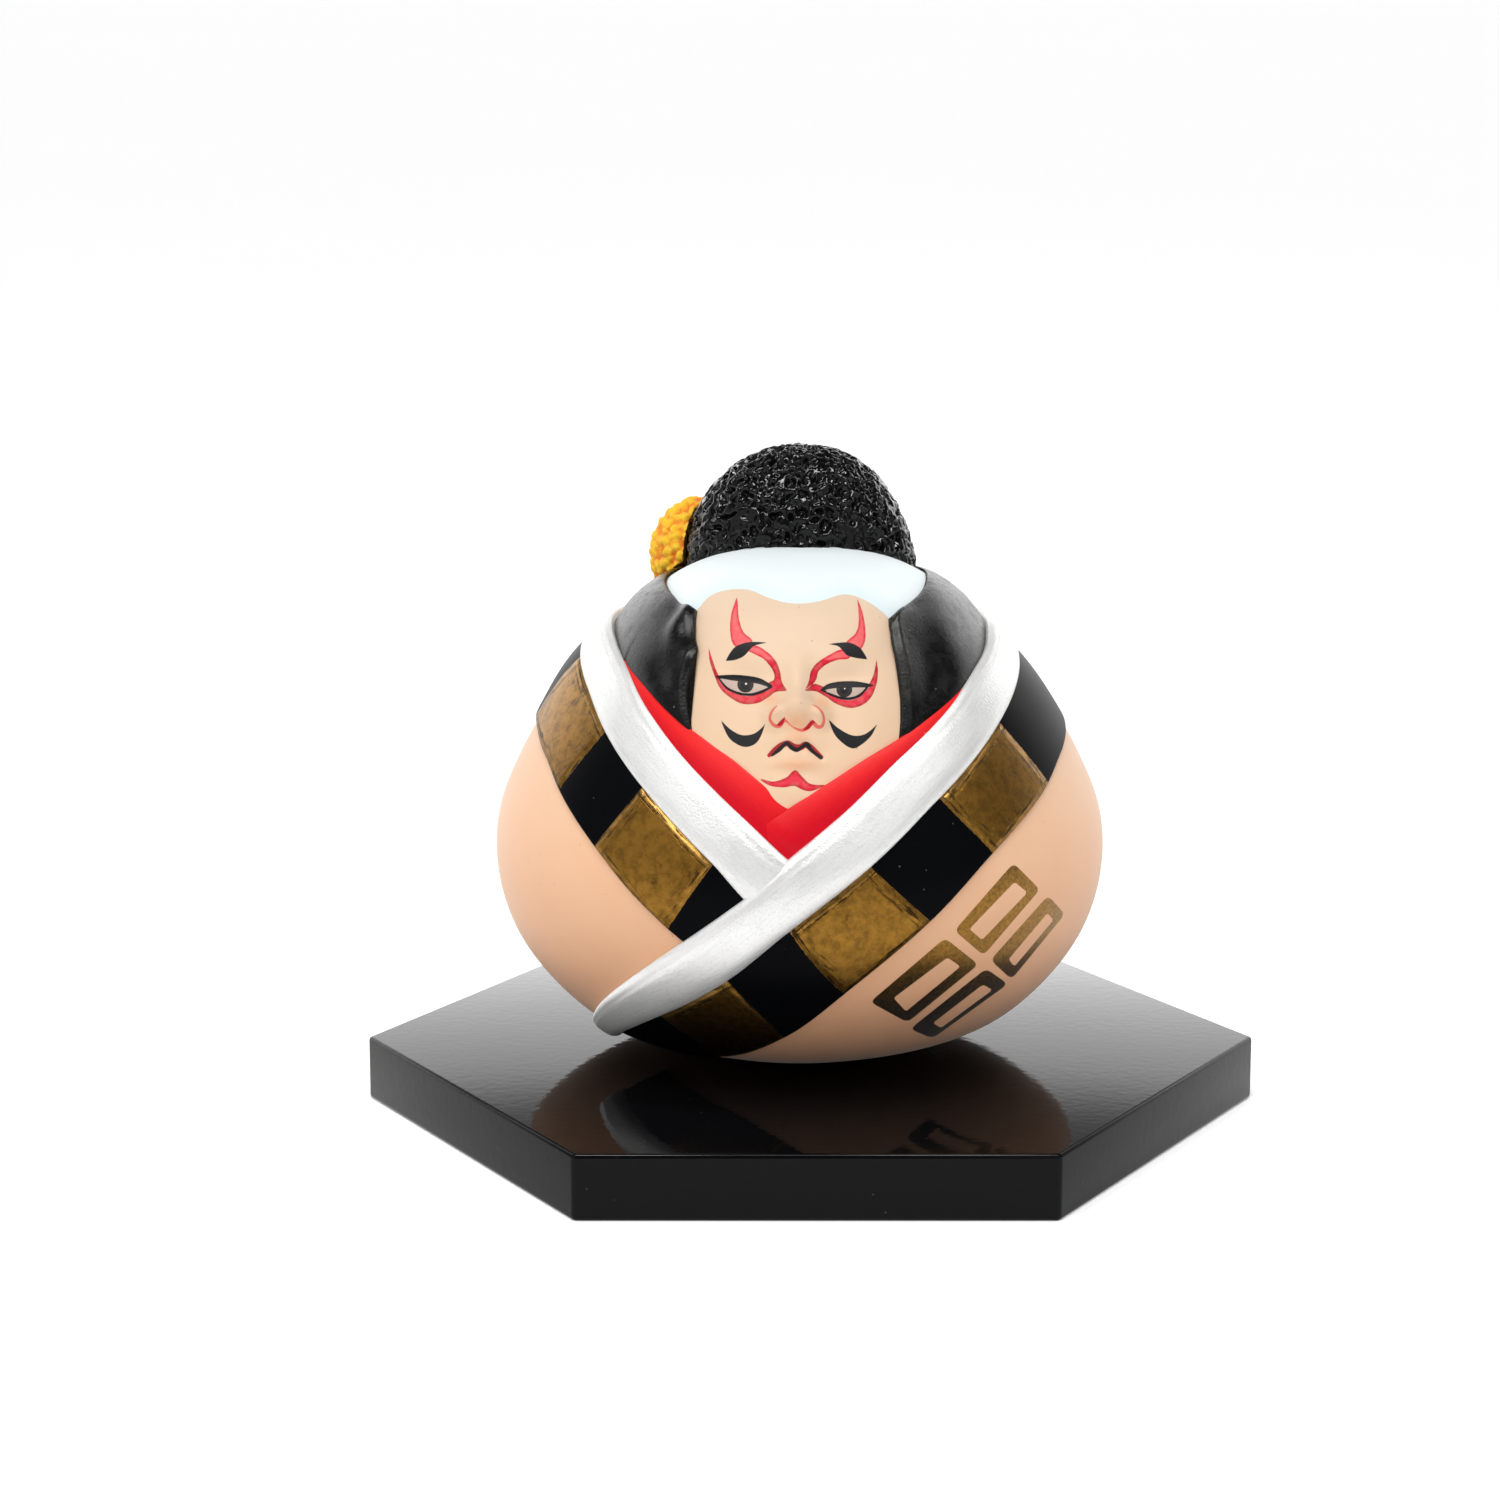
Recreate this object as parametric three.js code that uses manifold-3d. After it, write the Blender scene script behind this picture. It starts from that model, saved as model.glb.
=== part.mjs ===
// A hakata doll: a round painted clay footman, wrapped in a checked robe, on a lacquered hexagonal plinth.
// Millimetres, +Z up. The origin is the centre of the plinth's underside, and the doll looks along -Y.
import * as THREE from 'three';
import { mergeVertices } from 'three/addons/utils/BufferGeometryUtils.js';
import Module from 'manifold-3d';

const wasm = await Module();
wasm.setup();

// Plinth
const PLINTH_SIDE = 62.5;
const PLINTH_THICKNESS = 9;
const PLINTH_CHAMFER = 0.5;

// Where the figure stands on the plinth, and how far it turns to its own right
const FIGURE_X = -1.6;
const FIGURE_Y = 1.5;
const FIGURE_TURN_DEGREES = 1.3;

// Figure: foot to crown. All its other places and breadths are shares of this height.
const BODY_HEIGHT = 69.6;

// The heart is the point on the axis that all the figure's surfaces are measured from
const HEART = 0.388;

// Outline of the bare body from the foot's rim to the crown: radius and height
const BODY_OUTLINE = [
  [0.201, 0], [0.302, 0.027], [0.428, 0.08], [0.507, 0.151], [0.575, 0.251], [0.606, 0.362],
  [0.602, 0.473], [0.56, 0.583], [0.501, 0.684], [0.435, 0.769], [0.368, 0.841], [0.31, 0.899],
  [0.234, 0.951], [0.129, 0.987], [0, 1],
];

// The face swells forward from the round body: its height in shares, its place and spread in degrees
const FACE_SWELL = { rise: 0.06, latitude: 52, tall: 17, wide: 23.4 };

// How far each layer stands out from the body, in millimetres
const LEFT_COLLAR_RISE = 1.75;
const RIGHT_COLLAR_RISE = 1.25;
const NAPE_COLLAR_RISE = 1.5;
const LEFT_LINING_RISE = 1;
const RIGHT_LINING_RISE = 0.65;
const BAND_RISE = 0.5;
const HAIR_RISE = 1.6;
const LAYER_ROOT = 4;

// The share of a collar's rise that its square edge takes
const COLLAR_EDGE = 0.5;

// Where the hair's hem and upper edge lie on the half turn of its swelling,
// and its tuck under the lining in degrees
const HAIR_HEM = 0.06;
const HAIR_CREST = 0.9;
const HAIR_TUCK = 0.5;

// Each layer runs in under a collar to its own share of the collar's breadth, so no two edges coincide
const UNDER_COLLAR = { collar: 0.3, band: 0.5, lining: 0.7 };

// Edges of the layers round the body, front to nape: degrees round from the nose, degrees above the heart.
// On the wearer's left side these run up from the hem at the wearer's lower right and lie on top.
const NAPE = 180;
const HEM = -55.5;
const LEFT_SHOULDER_COLLAR_TOP = [
  [HEM, -29.6], [-31.5, -12.4], [-9, 4.4], [-1.4, 11.4], [8.4, 19.2], [21.8, 29.4], [44.8, 41.4],
  [58.9, 46.3], [85.5, 51.5], [NAPE, 52.5],
];
const LEFT_SHOULDER_COLLAR_FOOT = [
  [HEM, -37.4], [-25.5, -20.2], [-12.6, -11.4], [-1.3, -1.4], [13.2, 9.8], [28.6, 21], [51.8, 33.2],
  [76, 39.8], [96.7, 42.4], [NAPE, 43],
];
const LEFT_SHOULDER_BAND_FOOT = [
  [HEM, -48], [-18.6, -37.4], [-2.1, -26.3], [10.7, -12.6], [24.3, -0.6], [37.6, 9.7], [57.2, 18.9],
  [70.2, 23.6], [94, 27.3], [NAPE, 28],
];
const LEFT_SHOULDER_LINING_TOP = [
  [-12, 13.4], [-6.2, 17.4], [-1.1, 20.7], [5.4, 24.6], [14.2, 29.3], [22.6, 32.9], [31.8, 36.8], [46, 42],
];

// On the wearer's right side they end under the others
const RIGHT_SHOULDER_COLLAR_TOP = [
  [-4, 7], [1.3, 11.2], [9.7, 18.3], [23.5, 28.4], [36.8, 37.1], [52.9, 45.3], [72.8, 50.2],
  [96.2, 51.9], [NAPE, 52.5],
];
const RIGHT_SHOULDER_COLLAR_FOOT = [
  [-4, -8], [9.3, 4.4], [15.3, 10.3], [31.4, 22], [48.8, 32.3], [62.2, 37.7], [85.6, 41.8], [NAPE, 43],
];
const RIGHT_SHOULDER_BAND_FOOT = [
  [12, -11], [20.3, -4.4], [27.7, 1.3], [39.8, 10.5], [54.2, 18.7], [64.3, 23.3], [83.9, 27.4], [NAPE, 28],
];
const RIGHT_SHOULDER_LINING_TOP = [
  [-6, 16], [1.1, 20.7], [6.9, 24.9], [14.7, 30], [24.5, 34.6], [32.2, 38.2], [42.4, 42.6], [55, 46.6],
];

// The hair's edge beside the face, from the collar up: degrees above the heart, degrees from the nose
const LEFT_HAIR_FRONT = [
  [28, 21], [34.2, 23.2], [40.2, 25], [47.4, 26.4], [50.7, 27], [54.8, 29], [57, 31], [66, 40],
];
const RIGHT_HAIR_FRONT = [
  [28, 21], [34.2, 23.5], [40.2, 26.2], [48.7, 28.4], [51.8, 31.1], [56.9, 35.5], [66, 46],
];

// The hair's upper edge, where the shaved scalp begins
const LEFT_HAIR_TOP = [
  [27, 55.5], [30.8, 56.7], [36.3, 58.4], [49.2, 61.4], [69.6, 64.8], [87.4, 66], [105, 65.5], [NAPE, 63],
];
const RIGHT_HAIR_TOP = [[30, 57.5], [38.3, 59.8], [48.7, 62.3], [73.8, 64.4], [102, 64.3], [NAPE, 63]];

// Face: across from the nose, height above the foot, rise, breadth and tallness of each swelling
const FACE_FORMS = [
  { across: 0, height: 0.762, rise: 0.036, wide: 0.03, tall: 0.028 }, // tip of the nose
  { across: 0.042, height: 0.752, rise: 0.022, wide: 0.017, tall: 0.019 }, // wings of the nose
  { across: 0, height: 0.815, rise: 0.018, wide: 0.024, tall: 0.046 }, // bridge of the nose
  { across: 0.093, height: 0.82, rise: -0.012, wide: 0.052, tall: 0.03 }, // eye socket
  { across: 0.093, height: 0.807, rise: 0.006, wide: 0.038, tall: 0.014 }, // eyeball
  { across: 0.085, height: 0.862, rise: 0.007, wide: 0.05, tall: 0.022 }, // brow
  { across: 0, height: 0.712, rise: 0.011, wide: 0.045, tall: 0.013 }, // upper lip
  { across: 0, height: 0.673, rise: 0.012, wide: 0.04, tall: 0.014 }, // lower lip
  { across: 0, height: 0.63, rise: 0.013, wide: 0.052, tall: 0.027 }, // chin
  { across: 0.125, height: 0.722, rise: 0.01, wide: 0.057, tall: 0.05 }, // cheek
];

// The face is a finer layer: its edge lies flush with the body for some degrees, then the body sinks below it
const FACE_FIELD = { side: 40, low: 14, high: 70, flush: 8, margin: 4 };
const FACE_SINK = 0.022;
const FACE_LIFT = 0.06;

// The rough tuft of hair on the crown, and how fast its lumps follow each other
const TUFT = {
  across: 0, back: 0.164, height: 0.951, halfWidth: 0.233, halfDepth: 0.172, halfHeight: 0.234,
};
const TUFT_LUMPS = { rise: 0.003, turns: 11, skew: 3 };

// The crepe knot behind the tuft, at the wearer's right, and how far it stays from the head
const KNOT = {
  across: -0.2, back: 0.24, height: 0.954, halfWidth: 0.113, halfDepth: 0.105, halfHeight: 0.125,
};
const KNOT_LUMPS = { rise: 0.008, turns: 8, skew: 4 };
const KNOT_CLEARANCE = 0.3;

// How finely the surfaces are divided, and how much closer together columns are at the front
const BODY_GRID = { columns: 48, rows: 26 };
const COLLAR_GRID = { columns: 44, rows: 6 };
const BAND_GRID = { columns: 40, rows: 5 };
const LINING_GRID = { columns: 18, rows: 3 };
const HAIR_GRID = { columns: 44, rows: 8 };
const FACE_GRID = { columns: 34, rows: 30 };
const TUFT_GRID = { columns: 36, rows: 18 };
const KNOT_DETAIL = 4;
const FRONT_FINENESS = 0.6;
const GRAIN = 0.001;

const degrees = Math.PI / 180;

// A smooth curve through the points, each slope taken from the points beside it
function smooth(points, x) {
  const last = points.length - 1;
  const clamped = Math.min(Math.max(x, points[0][0]), points[last][0]);
  let i = 0;
  while (i < last - 1 && points[i + 1][0] < clamped) {
    i += 1;
  }
  const slope = (k) => {
    const a = points[Math.max(k - 1, 0)];
    const b = points[Math.min(k + 1, last)];
    return (b[1] - a[1]) / (b[0] - a[0]);
  };
  const [[x0, y0], [x1, y1]] = [points[i], points[i + 1]];
  const span = x1 - x0;
  const t = (clamped - x0) / span;
  const blend = t * t * (3 - 2 * t);
  const leave = span * slope(i) * t * (1 - t) ** 2;
  const arrive = span * slope(i + 1) * t * t * (t - 1);
  return y0 + blend * (y1 - y0) + leave + arrive;
}

function hump(value, centre, width) {
  return Math.exp(-(((value - centre) / width) ** 2));
}

// The outline as degrees above the heart and distance from it, in shares
const outline = BODY_OUTLINE.map(([radius, height]) => (
  [Math.atan2(height - HEART, radius) / degrees, Math.hypot(radius, height - HEART)]
));
const RIM = outline[0][0];
const CROWN = outline[outline.length - 1][0];

// Distance from the heart to the bare body
function bodyDistance(longitude, latitude) {
  if (latitude < RIM) {
    return (BODY_HEIGHT * HEART) / Math.sin(-latitude * degrees);
  }
  const aside = longitude * Math.cos(latitude * degrees);
  const swell = hump(latitude, FACE_SWELL.latitude, FACE_SWELL.tall) * hump(aside, 0, FACE_SWELL.wide);
  return BODY_HEIGHT * (smooth(outline, latitude) + FACE_SWELL.rise * swell);
}

function place(longitude, latitude, distance) {
  const level = distance * Math.cos(latitude * degrees);
  return new THREE.Vector3(
    level * Math.sin(longitude * degrees),
    -level * Math.cos(longitude * degrees),
    BODY_HEIGHT * HEART + distance * Math.sin(latitude * degrees),
  );
}

// A closed geometry as a solid that can be joined and cut
function solid(geometry) {
  geometry.deleteAttribute('normal');
  geometry.deleteAttribute('uv');
  const welded = mergeVertices(geometry);
  return new wasm.Manifold(new wasm.Mesh({
    numProp: 3,
    vertProperties: new Float32Array(welded.attributes.position.array),
    triVerts: new Uint32Array(welded.index.array),
  }));
}

function geometryOf(manifold) {
  const mesh = manifold.getMesh();
  const geometry = new THREE.BufferGeometry();
  geometry.setAttribute('position', new THREE.BufferAttribute(new Float32Array(mesh.vertProperties), 3));
  geometry.setIndex(new THREE.BufferAttribute(new Uint32Array(mesh.triVerts), 1));
  geometry.computeVertexNormals();
  return geometry;
}

// Joins solids into one body. Specks of no volume, where the edges of layers cross, are left out.
function joined(solids) {
  const bodies = solids.reduce((sum, piece) => sum.add(piece)).decompose();
  return bodies.reduce((largest, body) => (body.volume() > largest.volume() ? body : largest));
}

// Moves every point of a geometry to where the function puts it, on a fine grid so that meeting edges agree
function reshaped(geometry, shape) {
  const position = geometry.attributes.position;
  for (let i = 0; i < position.count; i += 1) {
    const point = shape(new THREE.Vector3().fromBufferAttribute(position, i));
    point.divideScalar(GRAIN).round().multiplyScalar(GRAIN);
    position.setXYZ(i, point.x, point.y, point.z);
  }
  return solid(geometry);
}

// A block bent on to the body. The shape gets the shares across and up it, and whether it is its outer face.
function layer({ columns, rows }, shape) {
  const block = new THREE.BoxGeometry(1, 1, 1, columns, rows, 1);
  return reshaped(block, (p) => shape(p.x + 0.5, p.y + 0.5, p.z > 0));
}

// A layer round one side of the body, from front to nape, between its top and its foot.
// Its section gives its rise for the share of its breadth and of its length.
function wrap({ side, from, to, top, foot, section, grid }, grown) {
  return layer(grid, (u, v, outside) => {
    const run = side > 0 ? u : 1 - u;
    const along = run * (FRONT_FINENESS + (1 - FRONT_FINENESS) * run);
    const round = from + along * (to - from);
    const latitude = foot(round) + v * (top(round) - foot(round));
    const rise = outside ? section(v, along) + grown : -LAYER_ROOT;
    return place(side * round, latitude, bodyDistance(round, latitude) + rise);
  });
}

// The body lies lower in the middle of the face's field
function faceSink(longitude, latitude) {
  const { side, low, high, flush, margin } = FACE_FIELD;
  const inside = Math.min(side - Math.abs(longitude), latitude - low, high - latitude);
  return BODY_HEIGHT * FACE_SINK * Math.min(Math.max((inside - flush) / margin, 0), 1);
}

// The body, closed over the crown and flat under the foot
function bareBody(grown) {
  const { columns, rows } = BODY_GRID;
  const sphere = new THREE.SphereGeometry(1, columns, rows);
  return reshaped(sphere, (p) => {
    const row = Math.round((Math.acos(p.y) / Math.PI) * rows);
    const latitude = row < rows ? CROWN - ((CROWN - RIM) * row) / (rows - 1) : -CROWN;
    const longitude = Math.atan2(p.x, p.z) / degrees;
    const distance = bodyDistance(longitude, latitude) + grown - faceSink(longitude, latitude);
    return place(longitude, latitude, distance);
  });
}

function faceRelief(across, height) {
  const rise = FACE_FORMS.reduce((sum, form) => {
    const beside = hump(Math.abs(across), form.across * BODY_HEIGHT, form.wide * BODY_HEIGHT);
    return sum + form.rise * beside * hump(height, form.height * BODY_HEIGHT, form.tall * BODY_HEIGHT);
  }, 0);
  return rise * BODY_HEIGHT;
}

function face() {
  const { side, low, high } = FACE_FIELD;
  return layer(FACE_GRID, (u, v, outside) => {
    const longitude = (2 * u - 1) * side;
    const latitude = low + v * (high - low);
    const distance = bodyDistance(longitude, latitude);
    const bare = place(longitude, latitude, distance);
    const rise = outside ? FACE_LIFT + faceRelief(bare.x, bare.z) : -LAYER_ROOT;
    return place(longitude, latitude, distance + rise);
  });
}

const edge = (table) => (round) => smooth(table, round);
const between = (low, high, share) => (round) => low(round) + share * (high(round) - low(round));
const leftTop = edge(LEFT_SHOULDER_COLLAR_TOP);
const leftFoot = edge(LEFT_SHOULDER_COLLAR_FOOT);
const underLeft = (share) => between(leftFoot, leftTop, share);
const rightTop = edge(RIGHT_SHOULDER_COLLAR_TOP);
const rightFoot = (round) => Math.max(
  smooth(RIGHT_SHOULDER_COLLAR_FOOT, round),
  underLeft(UNDER_COLLAR.collar)(-round),
);
const underRight = (share) => between(rightFoot, rightTop, share);

// A collar is a soft roll that takes its rise at the nape from one size and at the front from another
function roll(frontRise) {
  return (across, along) => {
    const rise = frontRise + (NAPE_COLLAR_RISE - frontRise) * along;
    return rise * (COLLAR_EDGE + (1 - COLLAR_EDGE) * (1 - (2 * across - 1) ** 4));
  };
}

// The crossed collars, the checked bands below them and the lining that shows at the neck
function robeLayers(grown) {
  const collar = (frontRise) => ({ to: NAPE, section: roll(frontRise), grid: COLLAR_GRID });
  const band = (foot) => ({ to: NAPE, foot: edge(foot), section: () => BAND_RISE, grid: BAND_GRID });
  const lining = (top, rise) => (
    { from: top[0][0], to: top.at(-1)[0], top: edge(top), section: () => rise, grid: LINING_GRID }
  );
  return [
    { side: 1, from: HEM, top: leftTop, foot: leftFoot, ...collar(LEFT_COLLAR_RISE) },
    { side: 1, from: HEM, top: underLeft(UNDER_COLLAR.band), ...band(LEFT_SHOULDER_BAND_FOOT) },
    { side: 1, foot: underLeft(UNDER_COLLAR.lining), ...lining(LEFT_SHOULDER_LINING_TOP, LEFT_LINING_RISE) },
    {
      side: -1, from: RIGHT_SHOULDER_COLLAR_TOP[1][0], top: rightTop, foot: rightFoot,
      ...collar(RIGHT_COLLAR_RISE),
    },
    {
      side: -1, from: RIGHT_SHOULDER_BAND_FOOT[0][0], top: underRight(UNDER_COLLAR.band),
      ...band(RIGHT_SHOULDER_BAND_FOOT),
    },
    {
      side: -1, foot: underRight(UNDER_COLLAR.lining),
      ...lining(RIGHT_SHOULDER_LINING_TOP, RIGHT_LINING_RISE),
    },
  ].map((part) => wrap(part, grown));
}

// The hair runs from one side of the face round the nape to the other, and swells between hem and scalp.
function hair(grown) {
  return layer(HAIR_GRID, (u, v, outside) => {
    const left = u <= 0.5;
    const run = left ? 2 * u : 2 - 2 * u;
    const front = left ? LEFT_HAIR_FRONT : RIGHT_HAIR_FRONT;
    const upper = left ? LEFT_HAIR_TOP : RIGHT_HAIR_TOP;
    const lining = left ? LEFT_SHOULDER_LINING_TOP : RIGHT_SHOULDER_LINING_TOP;
    const collar = left ? leftTop : rightTop;
    const liningEdge = (round) => (round < lining.at(-1)[0] ? smooth(lining, round) : 0);
    const hem = (round) => Math.max(liningEdge(round), collar(round)) - HAIR_TUCK;
    const sweep = (latitude) => {
      const start = smooth(front, latitude);
      return start + run * (FRONT_FINENESS + (1 - FRONT_FINENESS) * run) * (NAPE - start);
    };
    const rowAt = (round) => hem(round) + v * (smooth(upper, round) - hem(round));
    const latitude = rowAt(sweep(rowAt(sweep(front[0][0]))));
    const round = sweep(latitude);
    const fullness = Math.sqrt(Math.sin(Math.PI * (HAIR_HEM + (HAIR_CREST - HAIR_HEM) * v)));
    const rise = outside ? HAIR_RISE * fullness + grown : -LAYER_ROOT;
    return place(left ? round : -round, latitude, bodyDistance(round, latitude) + rise);
  });
}

// Turns a ball into a lumpy egg at its place on the head
function lumpy(ball, egg, { rise, turns, skew }, grown) {
  return reshaped(ball, (d) => {
    const waves = Math.sin(turns * d.x + skew * d.z) + Math.sin(turns * d.y + skew * d.x)
      + Math.sin(turns * d.z - skew * d.y);
    const reach = (half) => (half + rise * waves) * BODY_HEIGHT + grown;
    return new THREE.Vector3(
      d.x * reach(egg.halfWidth) + egg.across * BODY_HEIGHT,
      d.y * reach(egg.halfDepth) + egg.back * BODY_HEIGHT,
      d.z * reach(egg.halfHeight) + egg.height * BODY_HEIGHT,
    );
  });
}

function tuft(grown) {
  const sphere = new THREE.SphereGeometry(1, TUFT_GRID.columns, TUFT_GRID.rows);
  sphere.rotateX(Math.PI / 2);
  return lumpy(sphere, TUFT, TUFT_LUMPS, grown);
}

function mesh(name, shape, color, roughness) {
  const material = new THREE.MeshStandardMaterial({ color, roughness, metalness: 0 });
  const result = new THREE.Mesh(geometryOf(shape), material);
  result.name = name;
  return result;
}

// All that the knot leans on
function clothedBody(grown) {
  return joined([bareBody(grown), hair(grown), tuft(grown), ...robeLayers(grown)]);
}

function figure() {
  return mesh('figure', joined([clothedBody(0), face()]), 0xe9bd9c, 0.6);
}

// The knot is a crumpled ball of crepe, hollowed where it lies against the head
function hairOrnament() {
  const ball = lumpy(new THREE.IcosahedronGeometry(1, KNOT_DETAIL), KNOT, KNOT_LUMPS, 0);
  return mesh('hair_ornament', ball.subtract(clothedBody(KNOT_CLEARANCE)), 0xf2a012, 0.85);
}

// The plinth is a hexagonal board with fine chamfers, a flat side to the front
function plinth() {
  const sides = 6;
  const inner = PLINTH_SIDE - PLINTH_CHAMFER;
  const top = PLINTH_THICKNESS;
  const section = [
    [0, 0], [inner, 0], [PLINTH_SIDE, PLINTH_CHAMFER],
    [PLINTH_SIDE, top - PLINTH_CHAMFER], [inner, top], [0, top],
  ].map(([x, y]) => new THREE.Vector2(x, y));
  const geometry = new THREE.LatheGeometry(section, sides, Math.PI / sides);
  geometry.rotateX(Math.PI / 2);
  return mesh('plinth', solid(geometry), 0x0c0c0d, 0.12);
}

const standing = new THREE.Group();
standing.position.set(FIGURE_X, FIGURE_Y, PLINTH_THICKNESS);
standing.rotation.z = -FIGURE_TURN_DEGREES * degrees;
standing.add(figure(), hairOrnament());

const doll = new THREE.Group();
doll.add(plinth(), standing);
export default doll;
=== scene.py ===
"""A hakata doll, a round painted clay footman on a lacquered plinth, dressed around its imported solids."""
from math import cos, pi, radians, sin

import bmesh
import bpy
import numpy as np
from bpy.props import FloatProperty, FloatVectorProperty, PointerProperty
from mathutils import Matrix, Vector, noise


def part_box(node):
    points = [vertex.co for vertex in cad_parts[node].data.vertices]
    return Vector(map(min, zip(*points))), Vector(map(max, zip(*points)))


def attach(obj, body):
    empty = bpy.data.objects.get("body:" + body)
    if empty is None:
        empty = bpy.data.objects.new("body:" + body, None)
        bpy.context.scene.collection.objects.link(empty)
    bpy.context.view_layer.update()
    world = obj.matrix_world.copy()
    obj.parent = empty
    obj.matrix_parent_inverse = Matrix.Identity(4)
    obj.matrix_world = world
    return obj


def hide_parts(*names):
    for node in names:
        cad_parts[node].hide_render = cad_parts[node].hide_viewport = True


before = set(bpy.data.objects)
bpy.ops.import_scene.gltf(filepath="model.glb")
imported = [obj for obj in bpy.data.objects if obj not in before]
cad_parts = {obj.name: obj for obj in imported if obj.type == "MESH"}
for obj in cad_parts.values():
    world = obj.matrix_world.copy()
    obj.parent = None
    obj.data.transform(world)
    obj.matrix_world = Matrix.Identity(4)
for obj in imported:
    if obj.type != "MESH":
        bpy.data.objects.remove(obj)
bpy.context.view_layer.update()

bl_info = {
    "name": "Hakata Doll",
    "version": (1, 0, 0),
    "blender": (4, 5, 0),
    "location": "View3D > Sidebar > Doll",
    "description": "Builds a painted clay doll on its plinth, and the stage it stands on",
    "category": "Object",
}

MM = 0.001

# Where the figure stands on the plinth, and how far it turns to its own right
PLINTH_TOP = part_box("plinth")[1].z / MM
FIGURE_X = -1.6
FIGURE_Y = 1.5
FIGURE_TURN_DEGREES = 1.3

# Figure: foot to crown. All its other places and breadths are shares of this height.
BODY_HEIGHT = 69.6
HEART = 0.388
BODY_OUTLINE = [
    (0.201, 0), (0.302, 0.027), (0.428, 0.08), (0.507, 0.151), (0.575, 0.251), (0.606, 0.362),
    (0.602, 0.473), (0.56, 0.583), (0.501, 0.684), (0.435, 0.769), (0.368, 0.841), (0.31, 0.899),
    (0.234, 0.951), (0.129, 0.987), (0, 1),
]
FACE_SWELL = {"rise": 0.06, "latitude": 52, "tall": 17, "wide": 23.4}

# How far each layer stands out from the body, in millimetres
LEFT_COLLAR_RISE = 1.75
RIGHT_COLLAR_RISE = 1.25
NAPE_COLLAR_RISE = 1.5
LEFT_LINING_RISE = 1.0
RIGHT_LINING_RISE = 0.65
BAND_RISE = 0.5
HAIR_RISE = 1.6
HAIR_LEAST = 0.35
LAYER_ROOT = 4.0

# A collar's section: the share of its rise at its edges, then its crease's place across it and depth
COLLAR_EDGE = 0.5
CREASE_AT = 0.8
CREASE_DEPTH = 0.07

# The hair's section, from hem to top: the parts of a half wave where it begins and ends, the degrees that it
# tucks in under the collar, the share of its height at its top edge, and the share that it loses at the
# sides, between these degrees round from the nose
HAIR_HEM = 0.06
HAIR_CREST = 0.9
HAIR_TUCK = 0.5
HAIR_TOP_EDGE = 0.4
HAIR_SIDE_LOSS = 0.35
HAIR_SIDE_FROM = (45, 80)

# Crinkles of the tuft and the crepe, in millimetres, and the seed of their noise
CRINKLE_SEED = 1
PIT_SPACING = 2.2
CRINKLE_DEPTH = 1.2
CREPE_SPACING = 1.4
CREPE_DEPTH = 0.8

# How far the plinth's edges are rounded, in millimetres
PLINTH_EDGE = 0.6

# How far from its edge or end a layer is rounded over, in millimetres
EDGE_ROUND = 0.25
END_ROUND = 0.5
HAIR_FRONT_ROUND = 0.3
HAIR_TOP_ROUND = 1.5

# How far in under a collar each layer runs, as a share of the collar's breadth
UNDER_COLLAR = {"collar": 0.3, "band": 0.5, "lining": 0.7}

# The linings where they cross in front: the least share of the rise, and the degrees in which it grows from
# there. The left one also dips under the other side's collar, in millimetres, within some degrees. A lining
# is fullest at a share of the way across it.
LEFT_CROSSING = {"least": 0.4, "grows": (0.3, 5), "dip": 2.2, "dips": (0.1, 1.5)}
RIGHT_CROSSING = {"least": 0.35, "grows": (1, 9)}
LINING_CREST = 0.62

# Edges of the layers round the body, front to nape: degrees round from the nose, degrees above the heart.
# On the wearer's left side these run up from the hem at the wearer's lower right and lie on top.
NAPE = 180
HEM = -55.5
LEFT_SHOULDER_COLLAR_TOP = [
    (HEM, -29.6), (-31.5, -12.4), (-9, 4.4), (-1.4, 11.4), (8.4, 19.2), (21.8, 29.4), (44.8, 41.4),
    (58.9, 46.3), (85.5, 51.5), (NAPE, 52.5),
]
LEFT_SHOULDER_COLLAR_FOOT = [
    (HEM, -37.4), (-25.5, -20.2), (-12.6, -11.4), (-1.3, -1.4), (13.2, 9.8), (28.6, 21), (51.8, 33.4),
    (76, 41.6), (96.7, 45.3), (NAPE, 43.5),
]
LEFT_SHOULDER_BAND_FOOT = [
    (HEM, -48), (-18.6, -37.4), (-2.1, -26.3), (10.7, -12.6), (24.3, -0.6), (37.6, 9.7), (57.2, 18.9),
    (70.2, 23.6), (94, 27.3), (NAPE, 28),
]
LEFT_SHOULDER_LINING_TOP = [
    (-12, 13.4), (-6.2, 17.4), (-1.1, 20.7), (5.4, 24.6), (14.2, 29.3), (22.6, 32.9), (31.8, 36.8), (46, 42),
]
RIGHT_SHOULDER_COLLAR_TOP = [
    (-4, 7), (1.3, 11.2), (9.7, 18.3), (23.5, 28.4), (36.8, 37.1), (52.9, 45.3), (72.8, 50.2),
    (96.2, 51.9), (NAPE, 52.5),
]
RIGHT_SHOULDER_COLLAR_FOOT = [
    (-4, -8), (9.3, 4.4), (15.3, 10.3), (31.4, 22), (48.8, 32.3), (62.2, 38.4), (85.6, 44.4), (100, 46.2),
    (NAPE, 43.5),
]
RIGHT_SHOULDER_BAND_FOOT = [
    (6, -4), (12, -9.5), (20.3, -4.4), (27.7, 1.3), (39.8, 10.5), (54.2, 18.7), (64.3, 23.3), (83.9, 27.4),
    (NAPE, 28),
]
RIGHT_SHOULDER_LINING_TOP = [
    (-6, 16), (1.1, 20.7), (6.9, 24.9), (14.7, 30), (24.5, 34.6), (32.2, 38.2), (42.4, 42.6), (55, 46.6),
]

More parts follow.
